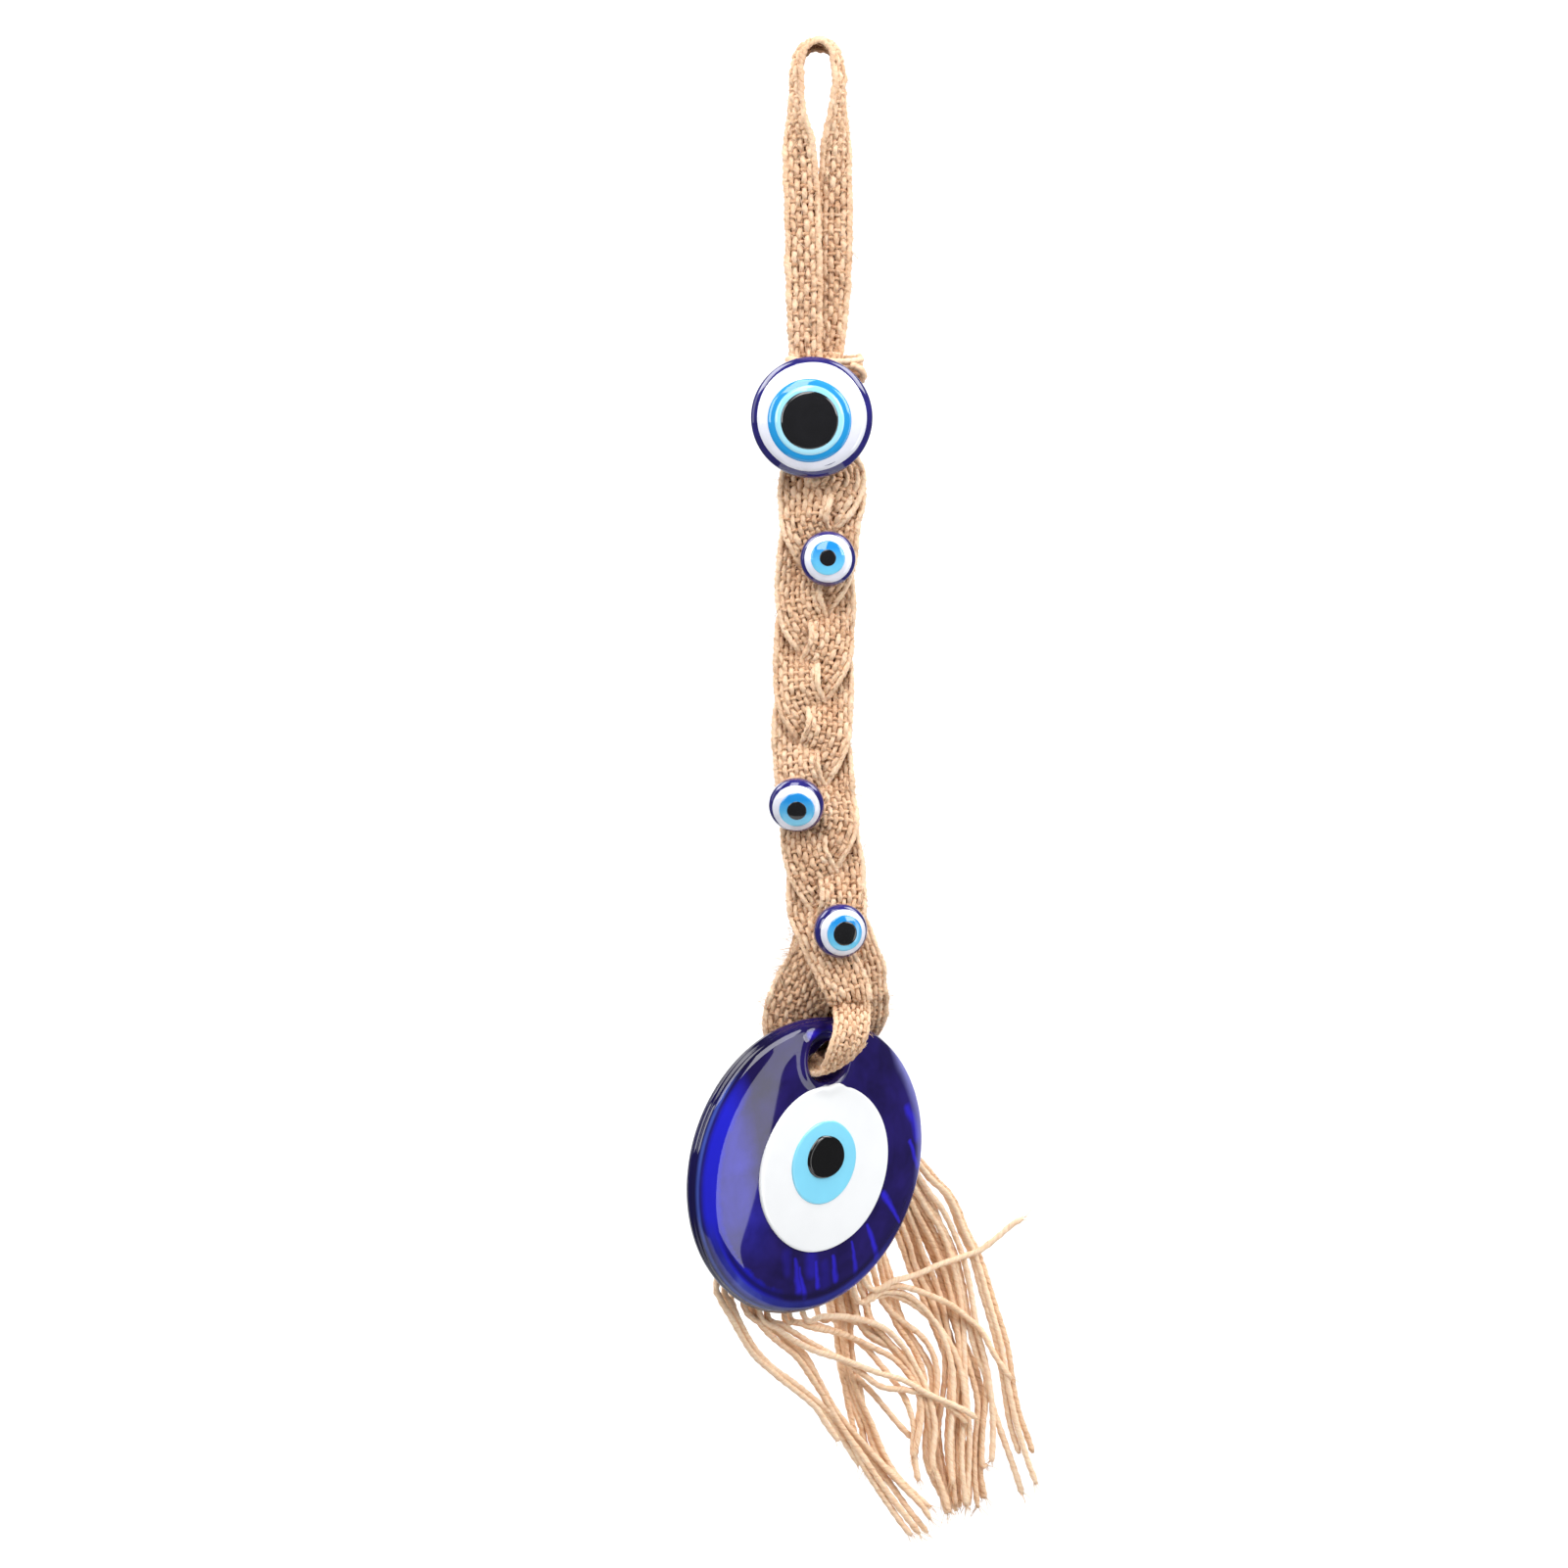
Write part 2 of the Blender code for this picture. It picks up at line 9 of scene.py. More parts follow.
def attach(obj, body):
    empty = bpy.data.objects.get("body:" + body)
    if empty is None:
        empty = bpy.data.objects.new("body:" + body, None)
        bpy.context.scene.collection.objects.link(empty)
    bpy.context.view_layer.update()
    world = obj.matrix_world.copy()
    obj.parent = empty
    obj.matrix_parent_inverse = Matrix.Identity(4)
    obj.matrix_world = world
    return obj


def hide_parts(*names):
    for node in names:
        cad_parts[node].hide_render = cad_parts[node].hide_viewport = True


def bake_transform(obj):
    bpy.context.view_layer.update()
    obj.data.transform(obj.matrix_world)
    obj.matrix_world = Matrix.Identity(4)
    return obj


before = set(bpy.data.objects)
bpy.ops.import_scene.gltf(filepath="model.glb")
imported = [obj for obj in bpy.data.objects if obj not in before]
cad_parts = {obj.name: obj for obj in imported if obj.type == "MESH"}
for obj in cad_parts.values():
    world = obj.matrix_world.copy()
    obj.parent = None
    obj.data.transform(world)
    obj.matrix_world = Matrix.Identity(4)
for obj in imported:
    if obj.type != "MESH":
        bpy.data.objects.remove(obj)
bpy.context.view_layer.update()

MM = 0.001
scene = bpy.context.scene
scene.view_settings.view_transform = "Standard"
scene.view_settings.look = "None"

# ---- camera: straight on, the ornament fills the height of the picture ------------------------
CX, CZ, SPAN = -6.7, -146.0, 312.2
LENS = 180.0
DIST = SPAN * LENS / 36.0
cam = bpy.data.cameras.new("camera")
cam.lens = LENS
cam.sensor_width = 36.0
cam.clip_start, cam.clip_end = 0.05, 40.0
camera = bpy.data.objects.new("camera", cam)
scene.collection.objects.link(camera)
camera.location = (CX * MM, -DIST * MM, CZ * MM)
camera.rotation_euler = (math.pi / 2, 0, 0)
scene.camera = camera


def seen(x, z, y):
    """The point at depth y that shows where (x, z) in the plane of the strap does."""
    s = (DIST + y) / DIST
    return np.array([CX + (x - CX) * s, y, CZ + (z - CZ) * s])


# ---- small helpers ----------------------------------------------------------------------------
def through(rows, n):
    """n + 1 rows on a smooth curve through the given rows."""
    P = np.array(rows, float)
    last = len(P) - 1
    out = []
    for k in range(n + 1):
        s = k / n * last
        i = min(int(s), last - 1)
        f = s - i
        a, b, c, d = P[max(i - 1, 0)], P[i], P[i + 1], P[min(i + 2, last)]
        out.append(0.5 * (2 * b + (c - a) * f + (2 * a - 5 * b + 4 * c - d) * f * f + (3 * b - a - 3 * c + d) * f ** 3))
    return np.array(out)


def even(P, step):
    """The same line with points a fixed step apart; all columns are carried, the first three are the place."""
    d = np.r_[0, np.cumsum(np.linalg.norm(np.diff(P[:, :3], axis=0), axis=1))]
    n = max(2, int(round(d[-1] / step)))
    t = np.linspace(0, d[-1], n + 1)
    return np.column_stack([np.interp(t, d, P[:, j]) for j in range(P.shape[1])])


def unit(v):
    return v / np.maximum(np.linalg.norm(v, axis=-1, keepdims=True), 1e-12)


def wobble(s, seed, scale):
    """Smooth wandering value along s, about -1 to 1."""
    return np.array([noise.noise(Vector((float(x) / scale, seed * 7.31, seed * 1.7))) * 1.6 for x in s])


class Yarns:
    """Many round yarns gathered in one mesh, with their length and turn as UV and a tone for each yarn."""

    def __init__(self):
        self.v, self.f, self.uv, self.tone, self.n = [], [], [], [], 0

    def add(self, P, r, sides=6, tone=0.5, lobe=0.0, pitch=4.0, flat=None, taper=0.0):
        P = np.asarray(P, float)[:, :3]
        m = len(P)
        r = np.broadcast_to(np.asarray(r, float), (m,)).copy()
        if taper:
            k = min(m // 2, max(1, int(taper)))
            r[-k:] *= np.linspace(1, 0.55, k)
        T = unit(np.gradient(P, axis=0))
        ref = np.array([0.0, -1.0, 0.0]) if abs(T[0] @ np.array([0.0, -1.0, 0.0])) < 0.9 else np.array([1.0, 0.0, 0.0])
        N = np.zeros_like(P)
        a = unit(ref - T[0] * (ref @ T[0]))
        for i in range(m):
            a = a - T[i] * (a @ T[i])
            a = a / max(np.linalg.norm(a), 1e-9)
            N[i] = a
        B = np.cross(T, N)
        s = np.r_[0, np.cumsum(np.linalg.norm(np.diff(P, axis=0), axis=1))]
        ang = np.linspace(0, 2 * math.pi, sides, endpoint=False)
        twist = 2 * math.pi * s / pitch
        rr = r[:, None] * (1 + lobe * np.cos(2 * (ang[None, :] - twist[:, None])))
        V = P[:, None, :] + rr[..., None] * (np.cos(ang)[None, :, None] * N[:, None, :] + np.sin(ang)[None, :, None] * B[:, None, :])
        self.v.append(V.reshape(-1, 3))
        base = self.n
        i = np.arange(m - 1)[:, None] * sides
        j = np.arange(sides)[None, :]
        jn = (j + 1) % sides
        quads = np.stack([i + j, i + jn, i + sides + jn, i + sides + j], -1).reshape(-1, 4) + base
        self.f.append(quads)
        uv = np.stack([
            np.stack([np.broadcast_to(s[:-1, None], (m - 1, sides)), np.broadcast_to(j / sides, (m - 1, sides))], -1),
            np.stack([np.broadcast_to(s[:-1, None], (m - 1, sides)), np.broadcast_to((j + 1) / sides, (m - 1, sides))], -1),
            np.stack([np.broadcast_to(s[1:, None], (m - 1, sides)), np.broadcast_to((j + 1) / sides, (m - 1, sides))], -1),
            np.stack([np.broadcast_to(s[1:, None], (m - 1, sides)), np.broadcast_to(j / sides, (m - 1, sides))], -1),
        ], 2).reshape(-1, 2)
        self.uv.append(uv)
        self.tone.append(np.repeat(np.broadcast_to(np.asarray(tone, float), (m,)), sides))
        self.caps = getattr(self, "caps", [])
        self.caps.append((base, base + (m - 1) * sides, sides, float(s[-1])))
        self.n += m * sides

    def ribbon(self, P, W, half, tone):
        """A dark sheet inside a tape: painted shade seen between its yarns."""
        m = len(P)
        d = np.linalg.norm(np.diff(P, axis=0), axis=1)
        s = np.r_[0, np.cumsum(d)]
        self.v.append(np.stack([P - W * half[:, None], P + W * half[:, None]], 1).reshape(-1, 3))
        i = np.arange(m - 1) * 2
        self.f.append(np.stack([i, i + 1, i + 3, i + 2], -1) + self.n)
        a, b = s[:-1], s[1:]
        z, o = np.zeros(m - 1), np.full(m - 1, 3.0)
        self.uv.append(np.stack([np.stack([a, z], -1), np.stack([a, o], -1), np.stack([b, o], -1), np.stack([b, z], -1)], 1).reshape(-1, 2))
        self.tone.append(np.full(2 * m, tone))
        self.n += 2 * m

    def build(self, name, mat):
        V = np.concatenate(self.v) * MM
        Q = np.concatenate(self.f)
        loops = Q.ravel().tolist()
        starts = list(range(0, 4 * len(Q), 4))
        totals = [4] * len(Q)
        uv = [np.concatenate(self.uv)]
        at = 4 * len(Q)
        for a, b, n, s in self.caps:
            for ring in (list(range(a, a + n))[::-1], list(range(b, b + n))):
                loops += ring
                starts.append(at)
                totals.append(n)
                at += n
                uv.append(np.column_stack([np.full(n, s), np.linspace(0, 1, n)]))
        me = bpy.data.meshes.new(name)
        me.vertices.add(len(V))
        me.vertices.foreach_set("co", V.astype(np.float32).ravel())
        me.loops.add(len(loops))
        me.loops.foreach_set("vertex_index", np.array(loops, np.int32))
        me.polygons.add(len(starts))
        me.polygons.foreach_set("loop_start", np.array(starts, np.int32))
        me.polygons.foreach_set("loop_total", np.array(totals, np.int32))
        me.update(calc_edges=True)
        me.uv_layers.new(name="yarn").data.foreach_set("uv", np.concatenate(uv).astype(np.float32).ravel())
        me.attributes.new("tone", "FLOAT", "POINT").data.foreach_set("value", np.concatenate(self.tone).astype(np.float32))
        me.polygons.foreach_set("use_smooth", np.ones(len(starts), bool))
        me.validate()
        me.materials.append(mat)
        o = bpy.data.objects.new(name, me)
        scene.collection.objects.link(o)
        return o


# ---- materials ----------------------------------------------------------------------------------
class Nodes:
    """Short names for building a material's nodes."""

    def __init__(self, name):
        self.m = bpy.data.materials.new(name)
        self.m.use_nodes = True
        self.t = self.m.node_tree
        self.bsdf = self.t.nodes["Principled BSDF"]

    def new(self, kind, **values):
        n = self.t.nodes.new("ShaderNode" + kind)
        for k, v in values.items():
            setattr(n, k, v)
        return n

    def link(self, a, b):
        self.t.links.new(a, b)

    def ramp(self, source, stops):
        n = self.new("ValToRGB")
        e = n.color_ramp.elements
        while len(e) < len(stops):
            e.new(0.5)
        for q, (p, c) in zip(e, stops):
            q.position = p
            q.color = (*c, 1.0)
        self.link(source, n.inputs["Fac"])
        return n.outputs["Color"]

    def math(self, op, a, b=None):
        n = self.new("Math", operation=op)
        for i, x in enumerate((a, b)):
            if x is None:
                continue
            if isinstance(x, (int, float)):
                n.inputs[i].default_value = x
            else:
                self.link(x, n.inputs[i])
        return n.outputs[0]

    def mix(self, fac, a, b, mode="MIX"):
        n = self.new("MixRGB", blend_type=mode)
        for i, x in enumerate((fac, a, b)):
            if isinstance(x, (int, float)):
                n.inputs[i].default_value = x
            elif isinstance(x, tuple):
                n.inputs[i].default_value = (*x, 1.0)
            else:
                self.link(x, n.inputs[i])
        return n.outputs[0]

    def noise(self, scale, detail=3.0, vector=None, rough=0.55):
        n = self.new("TexNoise")
        n.inputs["Scale"].default_value = scale
        n.inputs["Detail"].default_value = detail
        n.inputs["Roughness"].default_value = rough
        if vector is not None:
            self.link(vector, n.inputs["Vector"])
        return n.outputs["Fac"]


def srgb(r, g, b):
    return tuple(((c / 255) / 12.92 if c / 255 <= 0.04045 else ((c / 255 + 0.055) / 1.055) ** 2.4) for c in (r, g, b))


def jute_material(name, light, mid, dark, twist=2.2, bump=0.6):
    k = Nodes(name)
    uv = k.new("UVMap")
    uv.uv_map = "yarn"
    sep = k.new("SeparateXYZ")
    k.link(uv.outputs["UV"], sep.inputs[0])
    tone = k.new("Attribute")
    tone.attribute_name = "tone"
    along, turn = sep.outputs["X"], sep.outputs["Y"]
    # fibres wind round the yarn: the turn is sheared by the length
    wound = k.math("ADD", turn, k.math("MULTIPLY", along, 1.0 / twist))
    comb = k.new("CombineXYZ")
    k.link(k.math("MULTIPLY", along, 0.35), comb.inputs[0])
    k.link(k.math("MULTIPLY", wound, 9.0), comb.inputs[1])
    k.link(k.math("MULTIPLY", tone.outputs["Fac"], 37.0), comb.inputs[2])
    fibre = k.noise(1.0, 4.0, comb.outputs[0], 0.6)
    geo = k.new("TexCoord")
    blotch = k.noise(420.0, 3.0, geo.outputs["Object"], 0.5)
    # ply: lighter on the crest of each ply and darker in its groove; in the colour this is painted shade in the
    # grooves, besides the bump
    ply = k.math("ABSOLUTE", k.math("SINE", k.math("MULTIPLY", wound, 2 * math.pi)))
    level = k.math("ADD", k.math("MULTIPLY", fibre, 0.75), k.math("MULTIPLY", blotch, 0.35))
    level = k.math("ADD", level, k.math("MULTIPLY", tone.outputs["Fac"], 0.32))
    level = k.math("ADD", level, k.math("MULTIPLY", ply, 0.10))
    level = k.math("SUBTRACT", level, 0.28)
    deep = tuple(c * 0.42 for c in dark)
    colour = k.ramp(level, [(0.02, deep), (0.20, dark), (0.45, mid), (0.80, light)])
    k.link(colour, k.bsdf.inputs["Base Color"])
    k.bsdf.inputs["Roughness"].default_value = 0.82
    k.bsdf.inputs["Specular IOR Level"].default_value = 0.25
    k.bsdf.inputs["Subsurface Weight"].default_value = 0.12
    k.bsdf.inputs["Subsurface Radius"].default_value = (0.0012, 0.0007, 0.0003)
    b = k.new("Bump")
    b.inputs["Strength"].default_value = bump
    b.inputs["Distance"].default_value = 0.00018
    k.link(k.math("ADD", fibre, k.math("MULTIPLY", ply, 0.4)), b.inputs["Height"])
    k.link(b.outputs["Normal"], k.bsdf.inputs["Normal"])
    return k.m


JUTE_WEAVE = jute_material("jute_weave", srgb(250, 222, 192), srgb(222, 182, 147), srgb(158, 108, 76))
JUTE_YARN = jute_material("jute_fringe_yarn", srgb(254, 230, 202), srgb(235, 196, 160), srgb(180, 132, 96), twist=3.0, bump=0.45)


def gloss(name, colour, rough=0.05, vary=0.06, scale=300.0, ior=1.5, coat=0.6):
    k = Nodes(name)
    co = k.new("TexCoord")
    n = k.noise(scale, 2.0, co.outputs["Object"])
    dark = tuple(c * (1 - vary * 2) for c in colour)
    lite = tuple(min(1.0, c * (1 + vary)) for c in colour)
    k.link(k.ramp(n, [(0.3, dark), (0.7, lite)]), k.bsdf.inputs["Base Color"])
    k.bsdf.inputs["Roughness"].default_value = rough
    k.bsdf.inputs["IOR"].default_value = ior
    k.bsdf.inputs["Coat Weight"].default_value = coat
    k.bsdf.inputs["Coat Roughness"].default_value = 0.02
    b = k.new("Bump")
    b.inputs["Strength"].default_value = 0.04
    b.inputs["Distance"].default_value = 0.0002
    k.link(k.noise(scale * 0.7, 1.0, co.outputs["Object"]), b.inputs["Height"])
    k.link(b.outputs["Normal"], k.bsdf.inputs["Normal"])
    return k.m


NAVY = gloss("navy_resin_gloss", srgb(38, 34, 110), vary=0.15)
R_WHITE = gloss("white_resin_gloss", srgb(232, 234, 246), vary=0.03)
R_BLACK = gloss("black_resin_gloss", srgb(24, 24, 27), rough=0.1, vary=0.1)
GLUE = gloss("hot_melt_glue", srgb(232, 224, 196), rough=0.3, vary=0.05)
G_WHITE = gloss("white_glass_gloss", srgb(250, 252, 254), vary=0.01, scale=120.0)
G_BLUE = gloss("light_blue_glass_gloss", srgb(138, 224, 255), vary=0.02, scale=160.0)
G_BLACK = gloss("black_glass_gloss", srgb(10, 10, 12), rough=0.04, vary=0.1)


def azure_material(name, top, bottom, height):
    """Azure resin, paler towards the bottom where light gathers in the clear dome. height is the ring's half height in metres, in the piece's own frame."""
    k = Nodes(name)
    co = k.new("TexCoord")
    sep = k.new("SeparateXYZ")
    k.link(co.outputs["Object"], sep.inputs[0])
    f = k.math("ADD", k.math("MULTIPLY", sep.outputs["Y"], 0.5 / height), 0.5)
    f = k.math("ADD", f, k.math("MULTIPLY", k.math("SUBTRACT", k.noise(500.0, 2.0, co.outputs["Object"]), 0.5), 0.25))
    k.link(k.ramp(f, [(0.05, bottom), (0.85, top)]), k.bsdf.inputs["Base Color"])
    k.bsdf.inputs["Roughness"].default_value = 0.05
    k.bsdf.inputs["Coat Weight"].default_value = 0.6
    k.bsdf.inputs["Coat Roughness"].default_value = 0.02
    return k.m


def cobalt_material():
    """Deep cobalt glass: dark body and drawn streaks low and on the right; the rest is painted light and shade: a
    brighter band and a paler field inside the left shoulder, a painted dark line and a paler painted-light rim along
    the bottom, painted shade on the left side with a painted highlight line at its edge, and a painted glow on the
    right rim.
    """
    k = Nodes("cobalt_glass_body")
    co = k.new("TexCoord")
    sep = k.new("SeparateXYZ")
    k.link(co.outputs["Object"], sep.inputs[0])
    x, y, z = sep.outputs["X"], sep.outputs["Y"], sep.outputs["Z"]
    r = k.math("SQRT", k.math("ADD", k.math("MULTIPLY", x, x), k.math("MULTIPLY", y, y)))
    a = k.math("ARCTAN2", y, x)
    warp = k.noise(70.0, 2.0, co.outputs["Object"])

    def polar(turns, out, bend):
        c = k.new("CombineXYZ")
        k.link(k.math("ADD", k.math("MULTIPLY", a, turns), k.math("MULTIPLY", warp, bend)), c.inputs[0])
        k.link(k.math("MULTIPLY", r, out), c.inputs[1])
        return c.outputs[0]

    def clamp01(v):
        return k.math("MINIMUM", k.math("MAXIMUM", v, 0.0), 1.0)

    cloud = k.noise(1.0, 3.0, polar(2.2, 120.0, 1.0), 0.55)
    wx = k.math("ADD", k.math("MULTIPLY", x, 1000.0), k.math("MULTIPLY", k.math("SUBTRACT", k.noise(160.0, 2.0, co.outputs["Object"]), 0.5), 2.2))
    wy = k.math("ADD", k.math("MULTIPLY", y, 1000.0), k.math("MULTIPLY", k.math("SUBTRACT", k.noise(175.0, 2.0, co.outputs["Object"]), 0.5), 2.2))
    rm = k.math("MULTIPLY", r, 1000.0)

    def soft_step(v, a, b):
        return clamp01(k.math("DIVIDE", k.math("SUBTRACT", v, a), b - a))

    def stroke(x0, y0, x1, y1, w0, w1):
        """A drawn-out bubble line from one point to the other, in mm on the disc."""
        dx, dy = x1 - x0, y1 - y0
        qx, qy = k.math("SUBTRACT", wx, x0), k.math("SUBTRACT", wy, y0)
        t = clamp01(k.math("DIVIDE", k.math("ADD", k.math("MULTIPLY", qx, dx), k.math("MULTIPLY", qy, dy)), dx * dx + dy * dy))
        ex, ey = k.math("SUBTRACT", qx, k.math("MULTIPLY", t, dx)), k.math("SUBTRACT", qy, k.math("MULTIPLY", t, dy))
        d = k.math("SQRT", k.math("ADD", k.math("MULTIPLY", ex, ex), k.math("MULTIPLY", ey, ey)))
        w = k.math("ADD", k.math("MULTIPLY", t, w1 - w0), w0)
        return clamp01(k.math("SUBTRACT", 1.3, k.math("DIVIDE", d, k.math("MULTIPLY", w, 1.5))))

    body = k.ramp(cloud, [(0.35, srgb(25, 16, 70)), (0.65, srgb(37, 26, 102))])
    # drawn lines low down and on the right
    lines = None
    for q in ((-3.9, -18.2, -1.2, -24.8, 0.3, 0.72), (-2.2, -20.0, 0.6, -26.2, 0.25, 0.5), (2.2, -18.6, 3.9, -24.4, 0.25, 0.45),
              (6.6, -18.2, 8.2, -23.4, 0.3, 0.55), (11.0, -15.6, 13.6, -22.0, 0.2, 0.5), (15.0, -12.3, 19.5, -19.4, 0.25, 0.6), (18.5, -5.9, 24.4, -12.7, 0.5, 0.3),
              (23.2, 11.1, 27.3, 4.7, 0.7, 0.9), (24.6, 4.0, 28.0, -1.5, 0.3, 0.5), (-22.5, -16.5, -16.0, -22.5, 0.9, 1.3), (-5.0, 27.0, 1.0, 27.8, 0.6, 0.9)):
        m = stroke(*q)
        lines = m if lines is None else k.math("MAXIMUM", lines, m)
    for q, faint in (((0.6, -17.6, 1.6, -20.8, 1.3, 1.1), 0.5), ((-6.4, -17.0, -5.6, -21.0, 0.9, 0.7), 0.28), ((4.6, -19.5, 5.6, -24.0, 0.8, 1.0), 0.22)):
        lines = k.math("MAXIMUM", lines, k.math("MULTIPLY", stroke(*q), faint))
    body = k.mix(k.math("MULTIPLY", lines, k.math("ADD", k.math("MULTIPLY", warp, 0.8), 0.35)), body, srgb(48, 38, 205))
    # painted light on the left shoulder, where light crosses the glass: a saturated band and a paler blue field inside
    # it
    turn_up = k.math("ADD", k.math("MULTIPLY", wy, 0.33), wx)
    field = k.math("MULTIPLY", soft_step(rm, 13.5, 16.5), clamp01(k.math("DIVIDE", k.math("SUBTRACT", -14.0, turn_up), 6.0)))
    field = k.math("MULTIPLY", field, soft_step(wy, -19.0, -9.0))
    field = k.math("MULTIPLY", field, k.math("SUBTRACT", 1.0, soft_step(wy, 12.0, 21.0)))
    body = k.mix(k.math("MULTIPLY", field, 0.85), body, k.ramp(cloud, [(0.3, srgb(40, 34, 150)), (0.7, srgb(60, 56, 196))]))
    ragged = k.math("ADD", rm, k.math("MULTIPLY", k.math("SUBTRACT", k.noise(1.0, 3.0, polar(9.0, 40.0, 3.0), 0.6), 0.5), 3.0))
    band = k.math("MULTIPLY", soft_step(ragged, 24.8, 25.8), k.math("SUBTRACT", 1.0, soft_step(rm, 28.7, 29.2)))
    band = k.math("MULTIPLY", band, clamp01(k.math("DIVIDE", k.math("SUBTRACT", -13.0, turn_up), 7.0)))
    body = k.mix(k.math("MULTIPLY", band, k.math("ADD", k.math("MULTIPLY", warp, 0.5), 0.6)), body, srgb(32, 34, 205))
    # painted shade and light along the bottom: a dark line, then the rim that lets light through, painted paler
    down = clamp01(k.math("DIVIDE", k.math("SUBTRACT", -11.0, k.math("ADD", wy, k.math("MULTIPLY", wx, 0.1))), 8.0))
    line = k.math("MULTIPLY", soft_step(rm, 25.3, 26.1), k.math("SUBTRACT", 1.0, soft_step(rm, 26.5, 27.2)))
    body = k.mix(k.math("MULTIPLY", k.math("MULTIPLY", line, down), 0.8), body, srgb(20, 12, 60))
    edge = k.ramp(cloud, [(0.35, srgb(34, 38, 120)), (0.6, srgb(48, 54, 150)), (0.78, srgb(84, 98, 190))])
    body = k.mix(k.math("MULTIPLY", k.math("MULTIPLY", soft_step(rm, 26.9, 27.6), down), 0.9), body, edge)
    # painted shade on the left side, which is seen through the most glass; a painted highlight where the very edge
    # catches a pale line
    side = k.math("MULTIPLY", soft_step(k.math("MULTIPLY", z, -1000.0), -2.0, -1.2), clamp01(k.math("DIVIDE", k.math("SUBTRACT", 4.0, turn_up), 10.0)))
    body = k.mix(k.math("MULTIPLY", side, 0.9), body, srgb(14, 9, 42))
    # painted highlight: a pale line along the left edge of the front rim
    catch = k.math("MULTIPLY", k.math("MULTIPLY", soft_step(rm, 29.3, 29.6), k.math("SUBTRACT", 1.0, soft_step(rm, 29.8, 30.1))), clamp01(k.math("DIVIDE", k.math("SUBTRACT", -14.0, turn_up), 6.0)))
    catch = k.math("MULTIPLY", catch, soft_step(k.math("MULTIPLY", z, 1000.0), 0.6, 1.2))
    body = k.mix(k.math("MULTIPLY", catch, k.math("MULTIPLY", warp, 1.1)), body, srgb(80, 104, 210))
    # painted glow along the right rim, standing in for light coming through the glass there
    glow = k.math("MULTIPLY", soft_step(rm, 26.6, 29.0), clamp01(k.math("DIVIDE", k.math("SUBTRACT", k.math("ADD", wx, k.math("MULTIPLY", wy, 0.35)), 25.5), 3.0)))
    body = k.mix(k.math("MULTIPLY", glow, 0.85), body, srgb(132, 132, 202))
    k.link(body, k.bsdf.inputs["Base Color"])
    k.bsdf.inputs["Roughness"].default_value = 0.03
    k.bsdf.inputs["IOR"].default_value = 1.50
    b = k.new("Bump")
    b.inputs["Strength"].default_value = 0.08
    b.inputs["Distance"].default_value = 0.0005
    k.link(k.noise(60.0, 1.0, co.outputs["Object"]), b.inputs["Height"])
    k.link(b.outputs["Normal"], k.bsdf.inputs["Normal"])
    return k.m


COBALT = cobalt_material()

# ---- the disc's own directions ------------------------------------------------------------------
DISC_C = np.array([-2.1, 4.0, -222.2])
DISC_N = unit(np.array([0.655, -0.736, -0.173]))
DISC_UP = np.array([0.096, -0.146, 0.985])
DISC_UP = unit(DISC_UP - DISC_N * (DISC_UP @ DISC_N))
RIGHT = unit(np.cross(-DISC_N, DISC_UP))
HOLE_UP, HOLE_R = 22.4, 4.8
HOLE = DISC_C + DISC_UP * HOLE_UP
KNOT = HOLE - DISC_N * 7.4
DISC_R, DISC_EDGE, DISC_DOME = 30.0, 2.2, 2.0


def frame_matrix(origin, z, up):
    z = unit(np.array(z, float))
    up = np.array(up, float)
    y = unit(up - z * (up @ z))
    x = np.cross(y, z)
    m = Matrix([[x[i], y[i], z[i], origin[i] * MM] for i in range(3)] + [[0, 0, 0, 1]])
    return m


def grid_mesh(name, V, mat, closed_u=True, flip=False, caps=()):
    """A smooth mesh from a grid of points V[row, around], in mm. caps: rows closed by a fan to their mean."""
    rows, cols = V.shape[:2]
    verts = V.reshape(-1, 3).tolist()
    faces = []
    for i in range(rows - 1):
        for j in range(cols if closed_u else cols - 1):
            a, b = i * cols + j, i * cols + (j + 1) % cols
            q = (a, b, b + cols, a + cols)
            faces.append(q[::-1] if flip else q)
    for row, up in caps:
        c = len(verts)
        verts.append(V[row].mean(0).tolist())
        for j in range(cols):
            a, b = row * cols + j, row * cols + (j + 1) % cols
            faces.append((a, b, c) if up else (b, a, c))
    me = bpy.data.meshes.new(name)
    me.from_pydata([tuple(x * MM for x in v) for v in verts], [], faces)
    me.update()
    me.polygons.foreach_set("use_smooth", np.ones(len(me.polygons), bool))
    me.materials.append(mat)
    o = bpy.data.objects.new(name, me)
    scene.collection.objects.link(o)
    return o


def revolve(name, profile, mat, seg=96, wob=None):
    """A closed body of revolution about Z from an outline of (r, z) that starts and ends on the axis."""
    pr = np.array(profile, float)
    ang = np.linspace(0, 2 * math.pi, seg, endpoint=False)
    V = np.zeros((len(pr) - 2, seg, 3))
    for i, (r, z) in enumerate(pr[1:-1]):
        w = 1.0 if wob is None else np.array([1 + wob(a) for a in ang])
        V[i, :, 0] = r * np.cos(ang) * w
        V[i, :, 1] = r * np.sin(ang) * w
        V[i, :, 2] = z
    o = grid_mesh(name, V, mat, flip=True)
    me = o.data
    # close the two ends on the axis
    import bmesh

    bm = bmesh.new()
    bm.from_mesh(me)
    bm.verts.ensure_lookup_table()
    for row, z, up in ((0, pr[0][1], True), (len(pr) - 3, pr[-1][1], False)):
        c = bm.verts.new((0, 0, z * MM))
        bm.verts.ensure_lookup_table()
        for j in range(seg):
            a, b = bm.verts[row * seg + j], bm.verts[row * seg + (j + 1) % seg]
            f = bm.faces.new((a, b, c) if up else (b, a, c))
            f.smooth = True
    bmesh.ops.recalc_face_normals(bm, faces=bm.faces)
    bm.to_mesh(me)
    bm.free()
    return o


